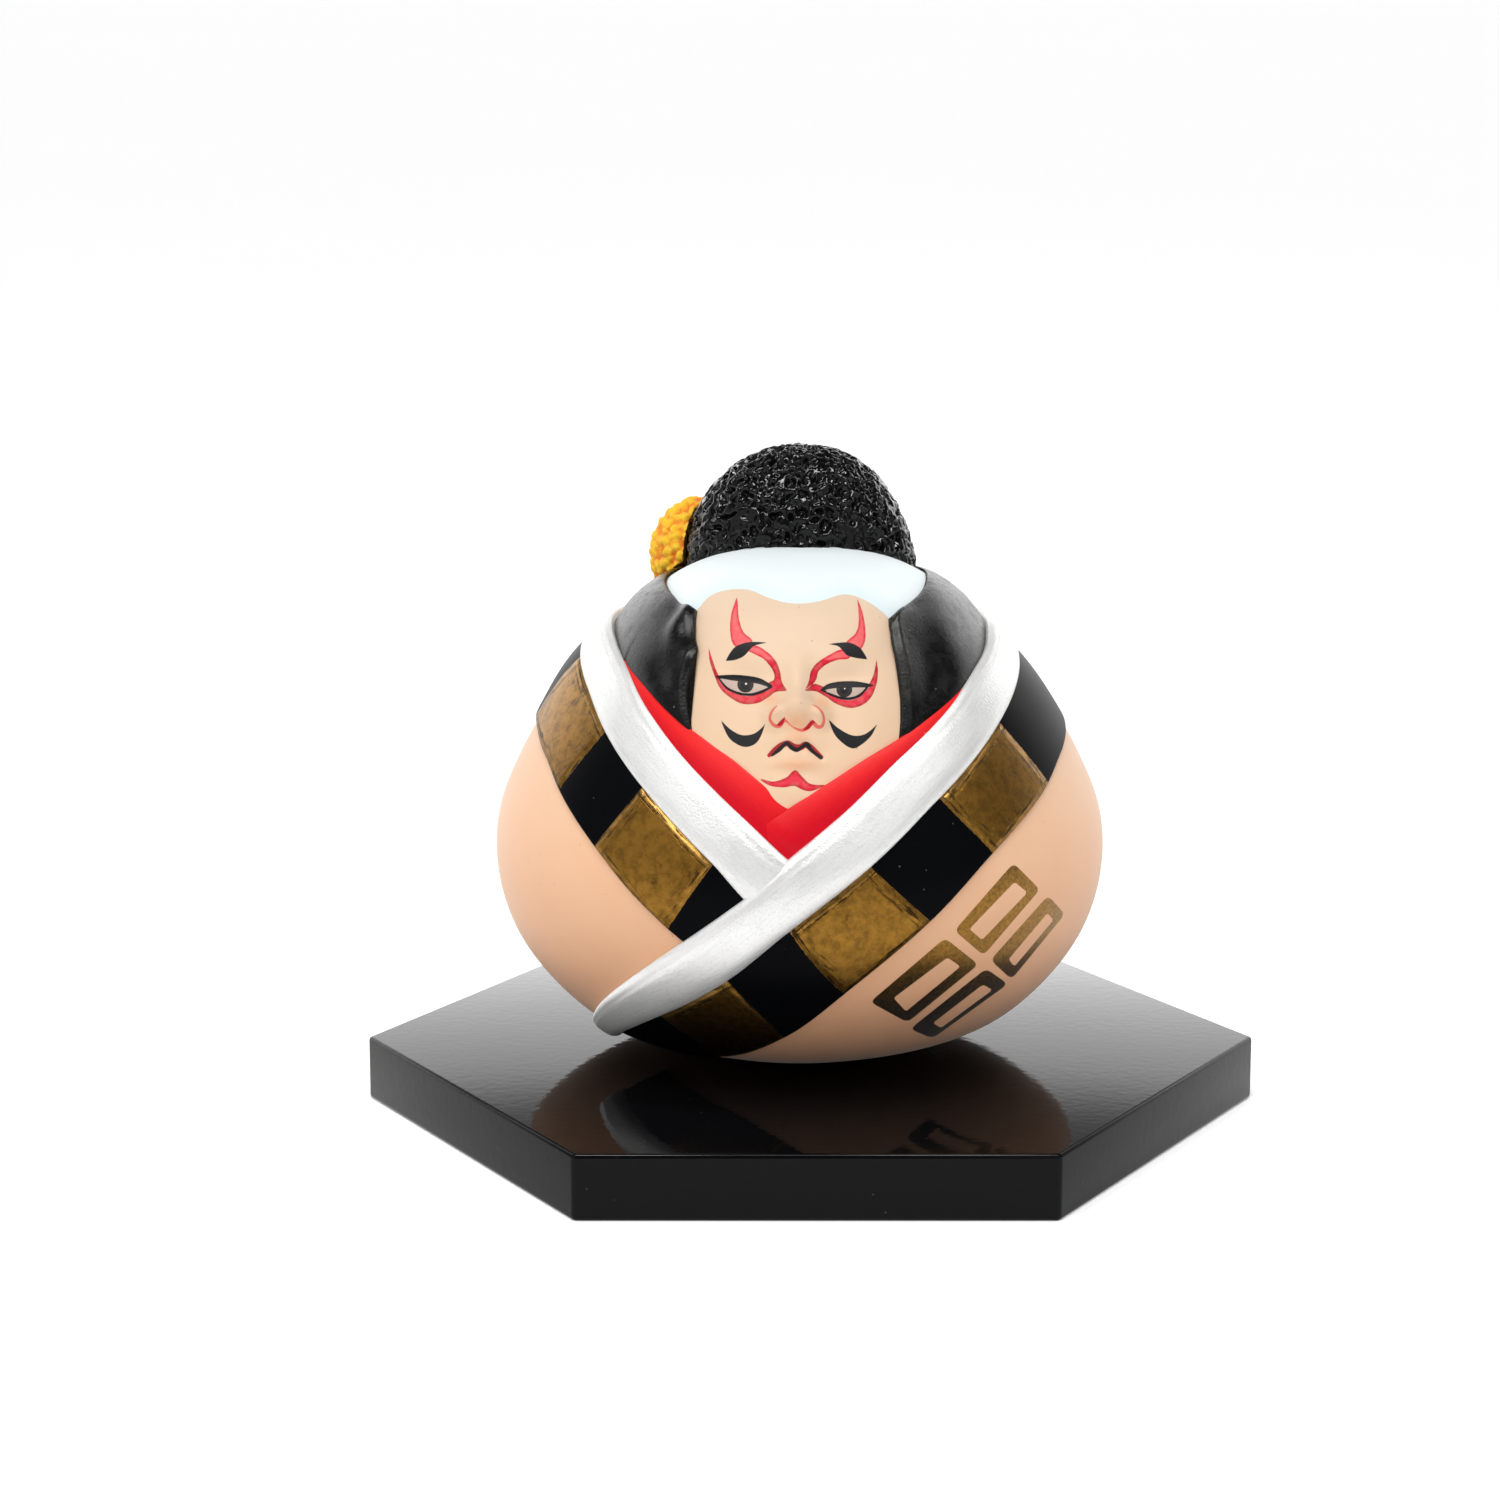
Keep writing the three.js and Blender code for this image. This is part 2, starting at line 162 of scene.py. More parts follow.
# How much fuller the robe's layers stand at each shoulder, in millimetres, and where: degrees round from
# the nose and above the heart, each with its reach
SHOULDER_FULLNESS = {1: 0.6, -1: 1.25}
SHOULDER_AROUND = (90, 24)
SHOULDER_UP = (42, 12)

LEFT_CHECKS = [
    (-29.8, -20), (-12.5, -2.3), (-1.2, 9.1), (13.3, 24.3), (28.6, 37.8), (51.6, 58.8), (95, 101),
    (116, 119), (138, 140), (160, 161), (182, 183),
]
RIGHT_CHECKS = [
    (14.9, 23.2), (32.1, 39.8), (47.2, 53.8), (78.5, 86), (107, 112), (131, 135), (156, 158), (181, 182),
]

# A check's length in millimetres, and the degrees in the one before the first edge
CHECK_LENGTH = 13.5
FIRST_CHECK_DEGREES = 15

# The hair's edge beside the face, from the collar up: degrees above the heart, degrees from the nose
LEFT_HAIR_FRONT = [
    (28, 20.8), (32.4, 22.4), (39.1, 24.8), (45.3, 26.1), (50.4, 26.6), (53.5, 27.8), (56, 29.2), (58, 31.8),
    (66, 40),
]
RIGHT_HAIR_FRONT = [
    (28, 21), (34.1, 24), (39.7, 26.7), (43.5, 27.6), (46.5, 27.7), (49.3, 28), (51.5, 30.2), (53.7, 32.2),
    (56.7, 34.8), (59.5, 37.5), (66, 44),
]
LEFT_HAIR_TOP = [
    (27, 55.5), (30.8, 56.7), (36.3, 58.4), (49.2, 61.4), (69.6, 64.8), (87.4, 66), (105, 65.5), (NAPE, 63),
]
RIGHT_HAIR_TOP = [(30, 57), (37.5, 58.3), (44.9, 59.3), (56, 61.5), (72.9, 63.6), (102, 64.8), (NAPE, 63)]

# The hair beside the face, by side: the share of its thickness right at the face, how strong the painted
# highlight on its edge is, then its ridge (way from the face at the top and lower down, rise, breadth, where
# it fades) and dents (way from the face, way down, rise, breadth, tallness)
HAIR_BROW = {1: 0.45, -1: 0.6}
HAIR_EDGE_HIGHLIGHT = {1: 1.0, -1: 0.15}
HAIR_RIDGES = {1: (0.6, 0.8, 0.2, 1.2, 9), -1: (1.0, 4.2, 0.6, 1.3, 6)}
HAIR_DENTS = {
    1: [(5, 10.5, -0.9, 3.4, 7), (1.4, 0.8, 0.4, 1.8, 0.8)],
    -1: [(0.9, 4.4, -0.4, 1.3, 1.8), (0.6, 7.2, 0.2, 1.3, 1), (5, 11.5, -0.4, 2.2, 2.4), (4, 15, 0.3, 2, 2)],
}

# How far down the ridge takes up its lower way, and where the painted highlight lies on the hair beside the
# face
RIDGE_TURN = 7
HIGHLIGHT_BESIDE_FACE = {"from_face": 0.7, "breadth": 1.1, "fades_at": 11}

# Where the face's swellings and its fine relief lie, in degrees to each side and above the heart
FACE_AREA = {"side": 45, "rows": (12, 72)}
FEATURE_AREA = {"side": 36, "rows": (20, 64)}

# Face: across from the nose, height above the foot, rise, breadth and tallness of each swelling
FACE_FORMS = [
    (0, 0.762, 0.045, 0.03, 0.028),  # tip of the nose
    (0.042, 0.752, 0.027, 0.017, 0.019),  # wings of the nose
    (0, 0.815, 0.018, 0.024, 0.046),  # bridge of the nose
    (0.093, 0.82, -0.012, 0.052, 0.03),  # eye socket
    (0.093, 0.807, 0.006, 0.038, 0.014),  # eyeball
    (0.085, 0.862, 0.007, 0.05, 0.022),  # brow
    (0, 0.712, 0.011, 0.045, 0.013),  # upper lip
    (0, 0.673, 0.015, 0.04, 0.014),  # lower lip
    (0, 0.63, 0.013, 0.052, 0.027),  # chin
    (0.125, 0.722, 0.01, 0.057, 0.05),  # cheek
]

# Fine relief beside the painted lines, in millimetres: rise and reach of each crease or ridge, and the rise
# and rounding of the eyes. The upper lid's ridge lies off its painted line, by this in picture points.
CREASES = {"nose": (-0.28, 0.45), "mouth": (-0.35, 0.5), "eye_rim": (-0.16, 0.35), "lid": (0.16, 0.5)}
EYE_RISE = 0.22
EYE_ROUND = 1.2
LID_RIM_SHIFT = (0, -3.5)

# The rough tuft of hair on the crown, and the crepe knot behind it: middle and half sizes, across, back and
# up. The tuft's mesh begins in the head, and its left side is drawn in by a share.
TUFT = {"middle": (0, 0.164, 0.951), "half": (0.233, 0.172, 0.234)}
KNOT = {"middle": (-0.2, 0.24, 0.948), "half": (0.113, 0.105, 0.122)}
TUFT_LOWEST_DEGREES = -45
TUFT_LEFT_LOSS = 0.05

# The knot is drawn in towards a point beside its middle where it would lie in the tuft or the head, and keeps
# this clear of each, in millimetres
KNOT_PULL = (-5.0, 4.0, 2.0)
KNOT_OFF_TUFT = 0.4
KNOT_OFF_HEAD = 1.4

# The eye that sees the doll as in the picture: its place, how far it looks down, and its lens, then the
# millimetres to a picture point on the face
EYE = np.array([-8.53, -534.2, 164.1])
LOOK_DOWN = radians(12.02)
PICTURE = 1500
PIXELS_TO_LENS = 3927.0
SENSOR = 36.0
FACE_PIXEL = 0.131

# Painted shapes on the face, in picture points. Each has two sides, both from the same tip to the same tip.
FOREHEAD_ROUGE = [
    ([(737, 596), (731.5, 613), (730, 629), (732.5, 643), (741, 651)],
     [(737, 596), (738, 606), (739, 619), (743.5, 632), (752.5, 641.5), (741, 651)]),
    ([(857, 598), (862.5, 612), (865.5, 630), (864.5, 643), (859, 652)],
     [(857, 598), (858.5, 612), (858.5, 624), (855, 634), (846, 643.5), (859, 652)]),
]
INNER_ROUGE = [
    ([(743, 649), (755, 645.5), (766, 651), (775.5, 660.5), (780, 671.5), (782, 682), (787, 690.5)],
     [(743, 649), (754, 654), (764, 659.5), (772, 669), (774.5, 678), (770.5, 686.5), (787, 690.5)]),
    ([(852, 651), (841, 649.5), (829, 655), (817.5, 662.5), (811, 671), (808.5, 682), (804.5, 690.5)],
     [(852, 651), (849, 658.5), (837.5, 660), (826.5, 664.5), (818.5, 671.5), (815.5, 681), (804.5, 690.5)]),
]
EYE_ROUGE = [
    ([(708.5, 646), (709.5, 660), (714, 674.5), (720, 688), (730, 697.5), (743, 704), (758, 703),
      (768, 697.5), (776, 692), (787, 691)],
     [(708.5, 646), (712.5, 660), (718, 674), (726, 685), (736, 691), (746, 693), (757, 691),
      (767, 684), (775, 681), (787, 691)]),
    ([(876.5, 658), (878, 673), (876, 686), (871, 697.5), (862.5, 705), (851, 708), (837.5, 704.5),
      (826, 697), (816, 691.5), (805, 691)],
     [(876.5, 658), (874, 673), (869, 684), (861, 692), (851, 697), (840, 696), (830, 690),
      (822, 686), (814, 684), (805, 691)]),
]
CHIN_ROUGE = [
    ([(759, 778), (773, 781.5), (786, 777.5), (795, 770), (803, 777.5), (811, 784), (827, 785)],
     [(759, 778), (763, 782), (771, 786), (783, 787.5), (794, 786), (803, 790), (812, 791), (827, 785)]),
]
BROWS = [
    ([(725.5, 661), (730, 653), (736.5, 646), (750, 642), (768, 642.5)],
     [(725.5, 661), (735, 660), (744, 656), (750, 649.5), (755, 645.5), (768, 642.5)]),
    ([(827, 644), (836, 643), (849, 642.5), (859, 647), (864, 653), (867.5, 659.5)],
     [(827, 644), (837.5, 646), (843, 651), (847.5, 655.5), (856, 658), (867.5, 659.5)]),
]
CHEEK_MARKS = [
    ([(720, 719), (730, 729), (741.5, 735), (753, 734), (761, 728.5), (765.5, 723)],
     [(720, 719), (728, 736.5), (736.5, 744), (745.5, 747), (755, 744), (761, 736), (765.5, 723)]),
    ([(828, 718.5), (837.5, 727.5), (851, 735), (862.5, 735), (871, 730), (878, 723)],
     [(828, 718.5), (834, 733.5), (842.5, 743), (852.5, 748.5), (861, 745), (871, 736), (878, 723)]),
]
EYE_OPENINGS = [
    ([(719, 678), (727, 676.5), (735, 676), (751, 677.5), (763, 680), (770.5, 687)],
     [(719, 678), (728, 689.5), (740, 695), (751.5, 696), (763, 692), (770.5, 687)]),
    ([(822.5, 690.5), (828, 684), (839, 682), (856, 682), (866, 684), (870.5, 686)],
     [(822.5, 690.5), (831, 695.5), (841, 699.5), (852.5, 700), (861, 695.5), (870.5, 686)]),
]
HAIRLINE = [
    (620, 700), (680, 630), (698, 609), (707.5, 598), (720, 591.5), (736.5, 589), (751.5, 590.5),
    (768, 597.5), (786, 602.5), (804.5, 603.5), (824, 600), (837.5, 595.5), (847.5, 594.5), (859, 597.5),
    (874, 605.5), (889, 618.5), (905, 640), (965, 710),
]

# Strokes of a brush: picture points along each, and its half breadth there
UPPER_LIDS = [
    [(715.5, 676.5, 0.7), (724, 677, 2), (735, 677.8, 3), (748, 679, 3.2), (760, 681.3, 2.9),
     (771, 686.5, 1.6)],
    [(821, 690.5, 1), (828.5, 686.6, 2.6), (839, 684.7, 3.1), (853, 684.3, 3.2), (864, 685, 2.4),
     (873, 685.5, 0.7)],
]
LOWER_LIDS = [
    [(719, 678.5, 0.8), (727, 688, 1.2), (739, 693.4, 1.3), (751, 694.6, 1.4), (762, 691.6, 1.4),
     (771, 687, 1.1)],
    [(823, 691, 0.9), (831, 694.6, 1.2), (841, 698, 1.4), (852, 698.3, 1.4), (861, 694.3, 1.3),
     (868, 686.5, 0.9)],
]
IRISES = [(745.5, 684.4, 8.2), (844.3, 689.4, 8)]
PUPILS = [(745.5, 684.4, 4.8), (844.3, 689, 4.6)]
GLINTS = [(746, 683.8, 1.1), (844.7, 688.6, 0.8)]
NOSE_LINE = [
    (776.5, 706, 0.6), (771.5, 712, 1.2), (769.8, 719, 1.4), (773.5, 724.8, 1.8), (779.5, 726, 2),
    (784.5, 720.5, 1.5), (789.5, 724.3, 0.9), (795, 728.2, 1.1), (802, 730.3, 1.6), (808, 727.5, 2),
    (812.5, 722.5, 1.8), (817, 726.5, 2), (821.5, 726.5, 1.7), (824, 721, 1.3), (822.5, 713, 1.1),
    (817, 707, 0.8), (812.5, 704.5, 0.5),
]
NOSTRILS = [
    [(777.5, 725.5, 0.8), (781, 723, 2.1), (784.8, 717.5, 0.6)],
    [(804, 730, 0.7), (808.5, 726.5, 2), (812.5, 721.5, 1.5), (815.5, 724, 0.6)],
]
LIPS = [
    (769, 755.5, 2), (777.5, 748, 3), (787, 743.3, 3), (793.5, 746.8, 3.3), (800, 747.6, 3.2),
    (806, 744.6, 3.1), (813, 750, 3.2), (821.3, 757.4, 2.2),
]
MOUTH_LINE = [
    (772, 755.4, 1.2), (779.5, 749.4, 2.1), (786.5, 743, 1.7), (791, 747, 2.4), (797, 750, 2.1),
    (802.5, 746.5, 1.7), (807, 744.6, 2.5), (812, 750.8, 1.8), (820.8, 757.8, 1.9),
]

# Painted shade in soft brown about the nose and under the lower lip, and places where the rouge is thickest:
# picture point and reach. The rouge is thick all along the eyes' height in the picture, and less so from the
# chin's height on.
PAINTED_SHADES = [
    (796, 765, 20, 6), (797, 722, 13, 8), (797, 737, 10, 4), (770, 699, 8, 6), (822, 703, 8, 6),
]
DEEP_ROUGE = [(781, 685, 15), (809, 686, 15), (742, 698, 22), (852, 702, 22), (796, 776, 12)]
EYES_FROM = 660
CHIN_FROM = 730
CHIN_DEEP = 0.65
SPOT_DEEP = 0.7

# The crest is four painted rings: the corners of each outer edge and of each hole, in picture points
CREST = [
    ([(1013.5, 863), (1040, 889.5), (983.5, 955.5), (954.5, 930.5)],
     [(1014.5, 882), (1027.5, 892.5), (982, 940), (969.5, 929)]),
    ([(1048, 895.5), (1065, 914), (1011.5, 979.5), (990.5, 960)],
     [(1047.5, 913), (1053.5, 920), (1014.5, 966.5), (1008.5, 959.5)]),
    ([(945, 938), (978.5, 964.5), (907.5, 1022.5), (870, 1002)],
     [(947.5, 957.5), (960.5, 966.5), (906, 1011.5), (893.5, 998)]),
    ([(986, 968.5), (1008, 984), (932.5, 1038.5), (910, 1029)],
     [(983, 984.5), (992.5, 990), (941, 1028), (933, 1023)]),
]

# How far the crest's corners are rounded, in picture points
CREST_CORNER = 6.0
CREST_HOLE_CORNER = 2.0

# Limits of the paint on the skin, in degrees. The front is as far round as paint is thrown from the picture,
# and past the temple the scalp ends at a set height. A value far out lies outside every painted shape.
FRONT = 80
TEMPLE = 60
SCALP_LOWEST = 45
SCALP_BACK = 58
SCALP_BACK_SLOPE = 0.7
SCALP_TOP_IN_PICTURE = 400
FACE_FOOT = 8
FACE_FOOT_SLOPE = 0.75
FAR_OUT = -5.0

# The skin's lattice: degrees in a coarse cell, fine steps in a cell, and where it is finer
CELL = 1.5
FINEST = 6
FINER = [
    {"side": (-39, 33), "rows": (21, 66), "steps": 6},
    {"side": (9, 66), "rows": (-36, 12), "steps": 3},
]

# Heights above the table between which a paint changes, in millimetres. Towards the foot, the lining and the
# gold are darkened as painted shade.
ROBE_FADE = (16, 60)
FACE_FADE = (58, 80)
LINING_FADE = (44, 57)
GOLD_FADE = (36, 13)

# Lines in the gold squares, in millimetres: the groove, given painted shade, and the fold, given a painted
# highlight, in from the collar, and the fine line of painted highlight in from the rim
GROOVE_IN = 1.2
FOLD_IN = (1.15, 0.85)
RIM_LINE_IN = 0.4

# The sun's breadth and lean, in degrees, and the point that the other lights are turned to
SUN_BREADTH = 50
SUN_LEAN = (24, -8)
MIDDLE = Vector((0, 0, 0.045))

# The other lights: the stage's setting and the share of it, breadth and height, and place, in metres
SOFTBOXES = [
    ("left_softbox", "left_box", 1.0, (0.7, 0.7), (-0.56, -0.3, 0.4)),
    ("right_softbox", "right_box", 1.0, (0.7, 0.7), (0.42, -0.52, 0.42)),
    ("left_rear_softbox", "rear_box", 1.0, (0.14, 0.3), (-0.5, 0.36, 0.5)),
    ("right_rear_softbox", "rear_box", 1.0, (0.14, 0.3), (0.46, 0.46, 0.42)),
    ("left_spark", "spark", 1.0, (0.11, 0.11), (-0.3, -0.3, 0.6)),
    ("middle_spark", "spark", 1.3, (0.13, 0.13), (0.02, -0.2, 0.72)),
    ("right_spark", "spark", 0.8, (0.13, 0.13), (0.42, -0.2, 0.52)),
    ("left_glint", "glint", 1.0, (0.15, 0.15), (-0.14, -0.2, 0.7)),
    ("right_glint", "glint", 1.0, (0.15, 0.15), (0.12, -0.14, 0.74)),
]

TURN = radians(FIGURE_TURN_DEGREES)
RIGHT_FACING = np.array([cos(TURN), -sin(TURN), 0])
BACK_FACING = np.array([sin(TURN), cos(TURN), 0])
UP = np.array([0, 0, 1.0])


def smooth(points, x):
    """A smooth curve through the points, each slope taken from the points beside it."""
    xs, ys = np.array(points, float).T
    slopes = np.gradient(ys, xs)
    slopes[1:-1] = (ys[2:] - ys[:-2]) / (xs[2:] - xs[:-2])
    x = np.clip(x, xs[0], xs[-1])
    i = np.clip(np.searchsorted(xs, x) - 1, 0, len(xs) - 2)
    span = xs[i + 1] - xs[i]
    t = (x - xs[i]) / span
    rise = t * t * (3 - 2 * t) * (ys[i + 1] - ys[i])
    return ys[i] + rise + span * (slopes[i] * t * (1 - t) ** 2 + slopes[i + 1] * t * t * (t - 1))


def hump(value, centre, width):
    """A soft hill of height 1."""
    return np.exp(-(((value - centre) / width) ** 2))


def ease(value, low, high):
    """Goes smoothly from 0 at low to 1 at high."""
    t = np.clip((value - low) / (high - low), 0, 1)
    return t * t * (3 - 2 * t)


def from_least(least, share):
    """Goes from the least to 1 as the share goes from 0 to 1."""
    return least + (1 - least) * share


def round_over(distance, radius):
    """The height share of an edge that is rounded over, at a distance in from it."""
    t = 1 - np.clip(distance / radius, 0, 1)
    return np.sqrt(1 - t * t)


OUTLINE = [(np.degrees(np.arctan2(h - HEART, r)), np.hypot(r, h - HEART)) for r, h in BODY_OUTLINE]
RIM = OUTLINE[0][0]


def body_distance(longitude, latitude):
    """Distance from the heart to the bare body."""
    aside = longitude * np.cos(np.radians(latitude))
    swell = hump(latitude, FACE_SWELL["latitude"], FACE_SWELL["tall"]) * hump(aside, 0, FACE_SWELL["wide"])
    return BODY_HEIGHT * (smooth(OUTLINE, latitude) + FACE_SWELL["rise"] * swell)


def place(longitude, latitude, distance):
    """Points on the standing figure, in millimetres in the part's frame."""
    a, b = np.radians(longitude), np.radians(latitude)
    level = distance * np.cos(b)
    across, back = level * np.sin(a), -level * np.cos(a)
    height = BODY_HEIGHT * HEART + distance * np.sin(b)
    return stand(across, back, height)


def stand(across, back, height):
    """Turns the figure's own places to the part's frame."""
    across, back, height = (np.asarray(v, float)[..., None] for v in (across, back, height))
    foot = np.array([FIGURE_X, FIGURE_Y, PLINTH_TOP])
    return foot + across * RIGHT_FACING + back * BACK_FACING + height * UP


def picture(points):
    """Where points of the part stand in the picture."""
    offset = points - EYE
    forward = np.array([0, cos(LOOK_DOWN), -sin(LOOK_DOWN)])
    upward = np.array([0, sin(LOOK_DOWN), cos(LOOK_DOWN)])
    depth = offset @ forward
    u = PICTURE / 2 + PIXELS_TO_LENS * offset[..., 0] / depth
    v = PICTURE / 2 - PIXELS_TO_LENS * (offset @ upward) / depth
    return np.stack([u, v], -1)


def curve(points, steps=5):
    """A smooth line through the points; any third value goes along."""
    p = np.array(points, float)
    p = np.vstack([2 * p[0] - p[1], p, 2 * p[-1] - p[-2]])
    t = np.linspace(0, 1, steps, endpoint=False)[:, None]
    parts = []
    for a, b, c, d in zip(p, p[1:], p[2:], p[3:]):
        parts.append(0.5 * (2 * b + (c - a) * t + (2 * a - 5 * b + 4 * c - d) * t ** 2
                            + (3 * b - a - 3 * c + d) * t ** 3))
    return np.vstack(parts + [p[-2:-1]])


def leaf(sides):
    """The closed outline between two sides that share both tips."""
    first, second = curve(sides[0]), curve(sides[1])
    return np.vstack([first, second[-2:0:-1]])


def rounded(corners, radius, steps=4):
    """A closed outline with its corners rounded."""
    corners = np.array(corners, float)
    parts = []
    for before, at, after in zip(np.roll(corners, 1, 0), corners, np.roll(corners, -1, 0)):
        reach = [radius * (p - at) / np.linalg.norm(p - at) for p in (before, after)]
        t = np.linspace(0, 1, steps)[:, None]
        parts.append(at + reach[0] * (1 - t) ** 2 + reach[1] * t ** 2)
    return np.vstack(parts)


def to_line(points, line):
    """Distance from each point to a line of points, less the half breadth if the line has one."""
    best = np.full(len(points), np.inf)
    for a, b in zip(line, line[1:]):
        run = b[:2] - a[:2]
        t = np.clip(((points - a[:2]) @ run) / max(run @ run, 1e-9), 0, 1)
        gap = np.linalg.norm(points - a[:2] - t[:, None] * run, axis=1)
        if len(a) > 2:
            gap = gap - a[2] - t * (b[2] - a[2])
        best = np.minimum(best, gap)
    return best


def inside(points, outline):
    """Signed distance to a closed outline, positive inside it."""
    closed = np.vstack([outline, outline[:1]])
    within = np.zeros(len(points), bool)
    x, y = points.T
    for (x0, y0), (x1, y1) in zip(closed, closed[1:]):
        if y0 != y1:
            crosses = ((y0 > y) != (y1 > y)) & (x < (x1 - x0) * (y - y0) / (y1 - y0) + x0)
            within ^= crosses
    gap = to_line(points, closed)
    return np.where(within, gap, -gap)


def union(fields):
    """The signed distance to several shapes together."""
    return np.max(np.stack(list(fields)), axis=0)


def in_picture(points, outline, field, reach=40):
    """A field of an outline in millimetres, worked out only for points near it in the picture."""
    low, high = outline[:, :2].min(0) - reach, outline[:, :2].max(0) + reach
    near = np.all((points > low) & (points < high), axis=1)
    result = np.full(len(points), -reach * FACE_PIXEL)
    if near.any():
        result[near] = field(points[near], outline) * FACE_PIXEL
    return result


def in_stroke(points, line):
    """Signed distance to a stroke of a brush."""
    return -to_line(points, line)


def in_dot(points, dots):
    """Signed distance to a dot, kept as one row: its place and its radius."""
    return dots[0, 2] - np.linalg.norm(points - dots[0, :2], axis=1)


def in_ring(hole):
    """A field that gives the signed distance to an outline with this hole."""
    opening = rounded(hole, CREST_HOLE_CORNER)
    return lambda points, outline: np.minimum(inside(points, outline), -inside(points, opening))


def painted(points, leaves=(), strokes=(), dots=()):
    """Signed distance to all of a colour's leaves, brush strokes and dots."""
    shapes = [(leaf(sides), inside) for sides in leaves]
    shapes += [(curve(line), in_stroke) for line in strokes]
    shapes += [(np.array([dot]), in_dot) for dot in dots]
    return union(in_picture(points, outline, field) for outline, field in shapes)


def crest_field(points):
    """Signed distance to the crest's rings."""
    return union(in_picture(points, rounded(outer, CREST_CORNER), in_ring(hole)) for outer, hole in CREST)


def add_object(name, data):
    made = bpy.data.objects.new(name, data)
    bpy.context.scene.collection.objects.link(made)
    return made


def make_piece(name, points, faces, material, node="figure", sharp=40):
    """A smooth-shaded mesh piece that stands for a node and rides with it."""
    mesh = bpy.data.meshes.new(name)
    mesh.from_pydata((np.asarray(points).reshape(-1, 3) * MM).tolist(), [], faces)
    work = bmesh.new()
    work.from_mesh(mesh)
    bmesh.ops.recalc_face_normals(work, faces=work.faces)
    work.to_mesh(mesh)
    work.free()
    mesh.shade_smooth()
    mesh.set_sharp_from_angle(angle=radians(sharp))
    piece = add_object(name, mesh)
    mesh.materials.append(material)
    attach(piece, "root")
    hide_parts(node)
    return piece


def mark(piece, **fields):
    """Keeps a value for each point, for the paint to read."""
    kept = piece.data.attributes
    for name, values in fields.items():
        attribute = kept.get(name) or kept.new(name, "FLOAT", "POINT")
        attribute.data.foreach_set("value", np.asarray(values, np.float32).ravel())


def marked(piece, name):
    """The values that mark() kept."""
    values = np.empty(len(piece.data.vertices), np.float32)
    piece.data.attributes[name].data.foreach_get("value", values)
    return values


def with_root(height, *others):
    """Adds a row sunk into the body under each edge of a layer, at the same places round it."""
    beside = ((0, 0), (1, 1))
    return np.pad(height, beside, constant_values=-LAYER_ROOT), *(np.pad(v, beside, "edge") for v in others)


def sweep_faces(columns, ring):
    """Faces of a closed block swept through rings of points, with a cap at each end."""
    i = np.arange(columns)[:, None] * ring
    j = np.arange(ring)[None, :]
    k = (j + 1) % ring
    quads = np.stack([i + j, i + k, i + ring + k, i + ring + j], -1).reshape(-1, 4).tolist()
    return quads + [list(range(ring))[::-1], list(range(columns * ring, (columns + 1) * ring))]


class Nodes:
    """Adds nodes to a shader tree and joins them."""

    def __init__(self, tree):
        self.tree = tree

    def add(self, kind, inputs=None, **settings):
        node = self.tree.nodes.new(kind)
        for name, value in settings.items():
            setattr(node, name, value)
        for name, value in (inputs or {}).items():
            if isinstance(value, bpy.types.NodeSocket):
                self.tree.links.new(value, node.inputs[name])
            else:
                node.inputs[name].default_value = value
        return node

    def math(self, operation, *values):
        return self.add("ShaderNodeMath", dict(enumerate(values)), operation=operation).outputs[0]

    def times(self, first, second):
        return self.math("MULTIPLY", first, second)

    def times_plus(self, first, second, added):
        return self.math("MULTIPLY_ADD", first, second, added)

    def less(self, first, second):
        return self.math("SUBTRACT", first, second)

    def larger(self, first, second):
        return self.math("MAXIMUM", first, second)

    def smaller(self, first, second):
        return self.math("MINIMUM", first, second)

    def mix(self, share, first, second):
        inputs = {0: share, 6: first, 7: second}
        return self.add("ShaderNodeMix", inputs, data_type="RGBA").outputs[2]

    def band(self, value, middle, outer, inner, most=1.0):
        """A soft line where a value comes near its middle: most from inner in, and nothing from outer out."""
        return self.spread(self.math("ABSOLUTE", self.less(value, middle)), outer, inner, 0, most)

    def spread(self, value, low, high, to_low=0.0, to_high=1.0):
        """Carries a value smoothly from one range to another."""
        inputs = {"Value": value, "From Min": low, "From Max": high, "To Min": to_low, "To Max": to_high}
        return self.add("ShaderNodeMapRange", inputs, interpolation_type="SMOOTHSTEP").outputs[0]

    def field(self, name):
        return self.add("ShaderNodeAttribute", attribute_name=name).outputs["Fac"]

    def group(self, name, **inputs):
        """Places a shared group, which is built the first time that it is wanted."""
        tree = bpy.data.node_groups.get(name) or SHARED_GROUPS[name]()
        return self.add("ShaderNodeGroup", inputs, node_tree=tree).outputs

    def grain(self, pits, tooth):
        return self.group("clay_grain", Pits=pits, Tooth=tooth)

    def streaks(self, along, across, length, breadth):
        return self.group("brush_streaks", Along=along, Across=across, Length=length, Breadth=breadth)

    def edge(self, distance, wobble):
        return self.group("paint_edge", Distance=distance, Wobble=wobble)["Mask"]

    def place(self, scale=1000.0):
        """The point's place in millimetres, or at another scale."""
        spot = self.add("ShaderNodeTexCoord").outputs["Object"]
        return self.add("ShaderNodeVectorMath", {0: spot, 3: scale}, operation="SCALE").outputs[0]

    def height(self):
        """The point's height above the table in millimetres."""
        return self.add("ShaderNodeSeparateXYZ", {0: self.place()}).outputs["Z"]

    def noise(self, vector, scale, detail=2.0, roughness=0.5):
        inputs = {"Vector": vector, "Scale": scale, "Detail": detail, "Roughness": roughness}
        return self.add("ShaderNodeTexNoise", inputs).outputs["Fac"]


def shader_group(name, inputs, outputs):
    """A new shader node group with named sockets."""
    tree = bpy.data.node_groups.new(name, "ShaderNodeTree")
    for in_out, sockets in (("INPUT", inputs), ("OUTPUT", outputs)):
        for socket, default in sockets.items():
            kind = "NodeSocketVector" if isinstance(default, tuple) else "NodeSocketFloat"
            made = tree.interface.new_socket(name=socket, in_out=in_out, socket_type=kind)
            made.default_value = default
    nodes = Nodes(tree)
    return tree, nodes, nodes.add("NodeGroupInput").outputs, nodes.add("NodeGroupOutput").inputs


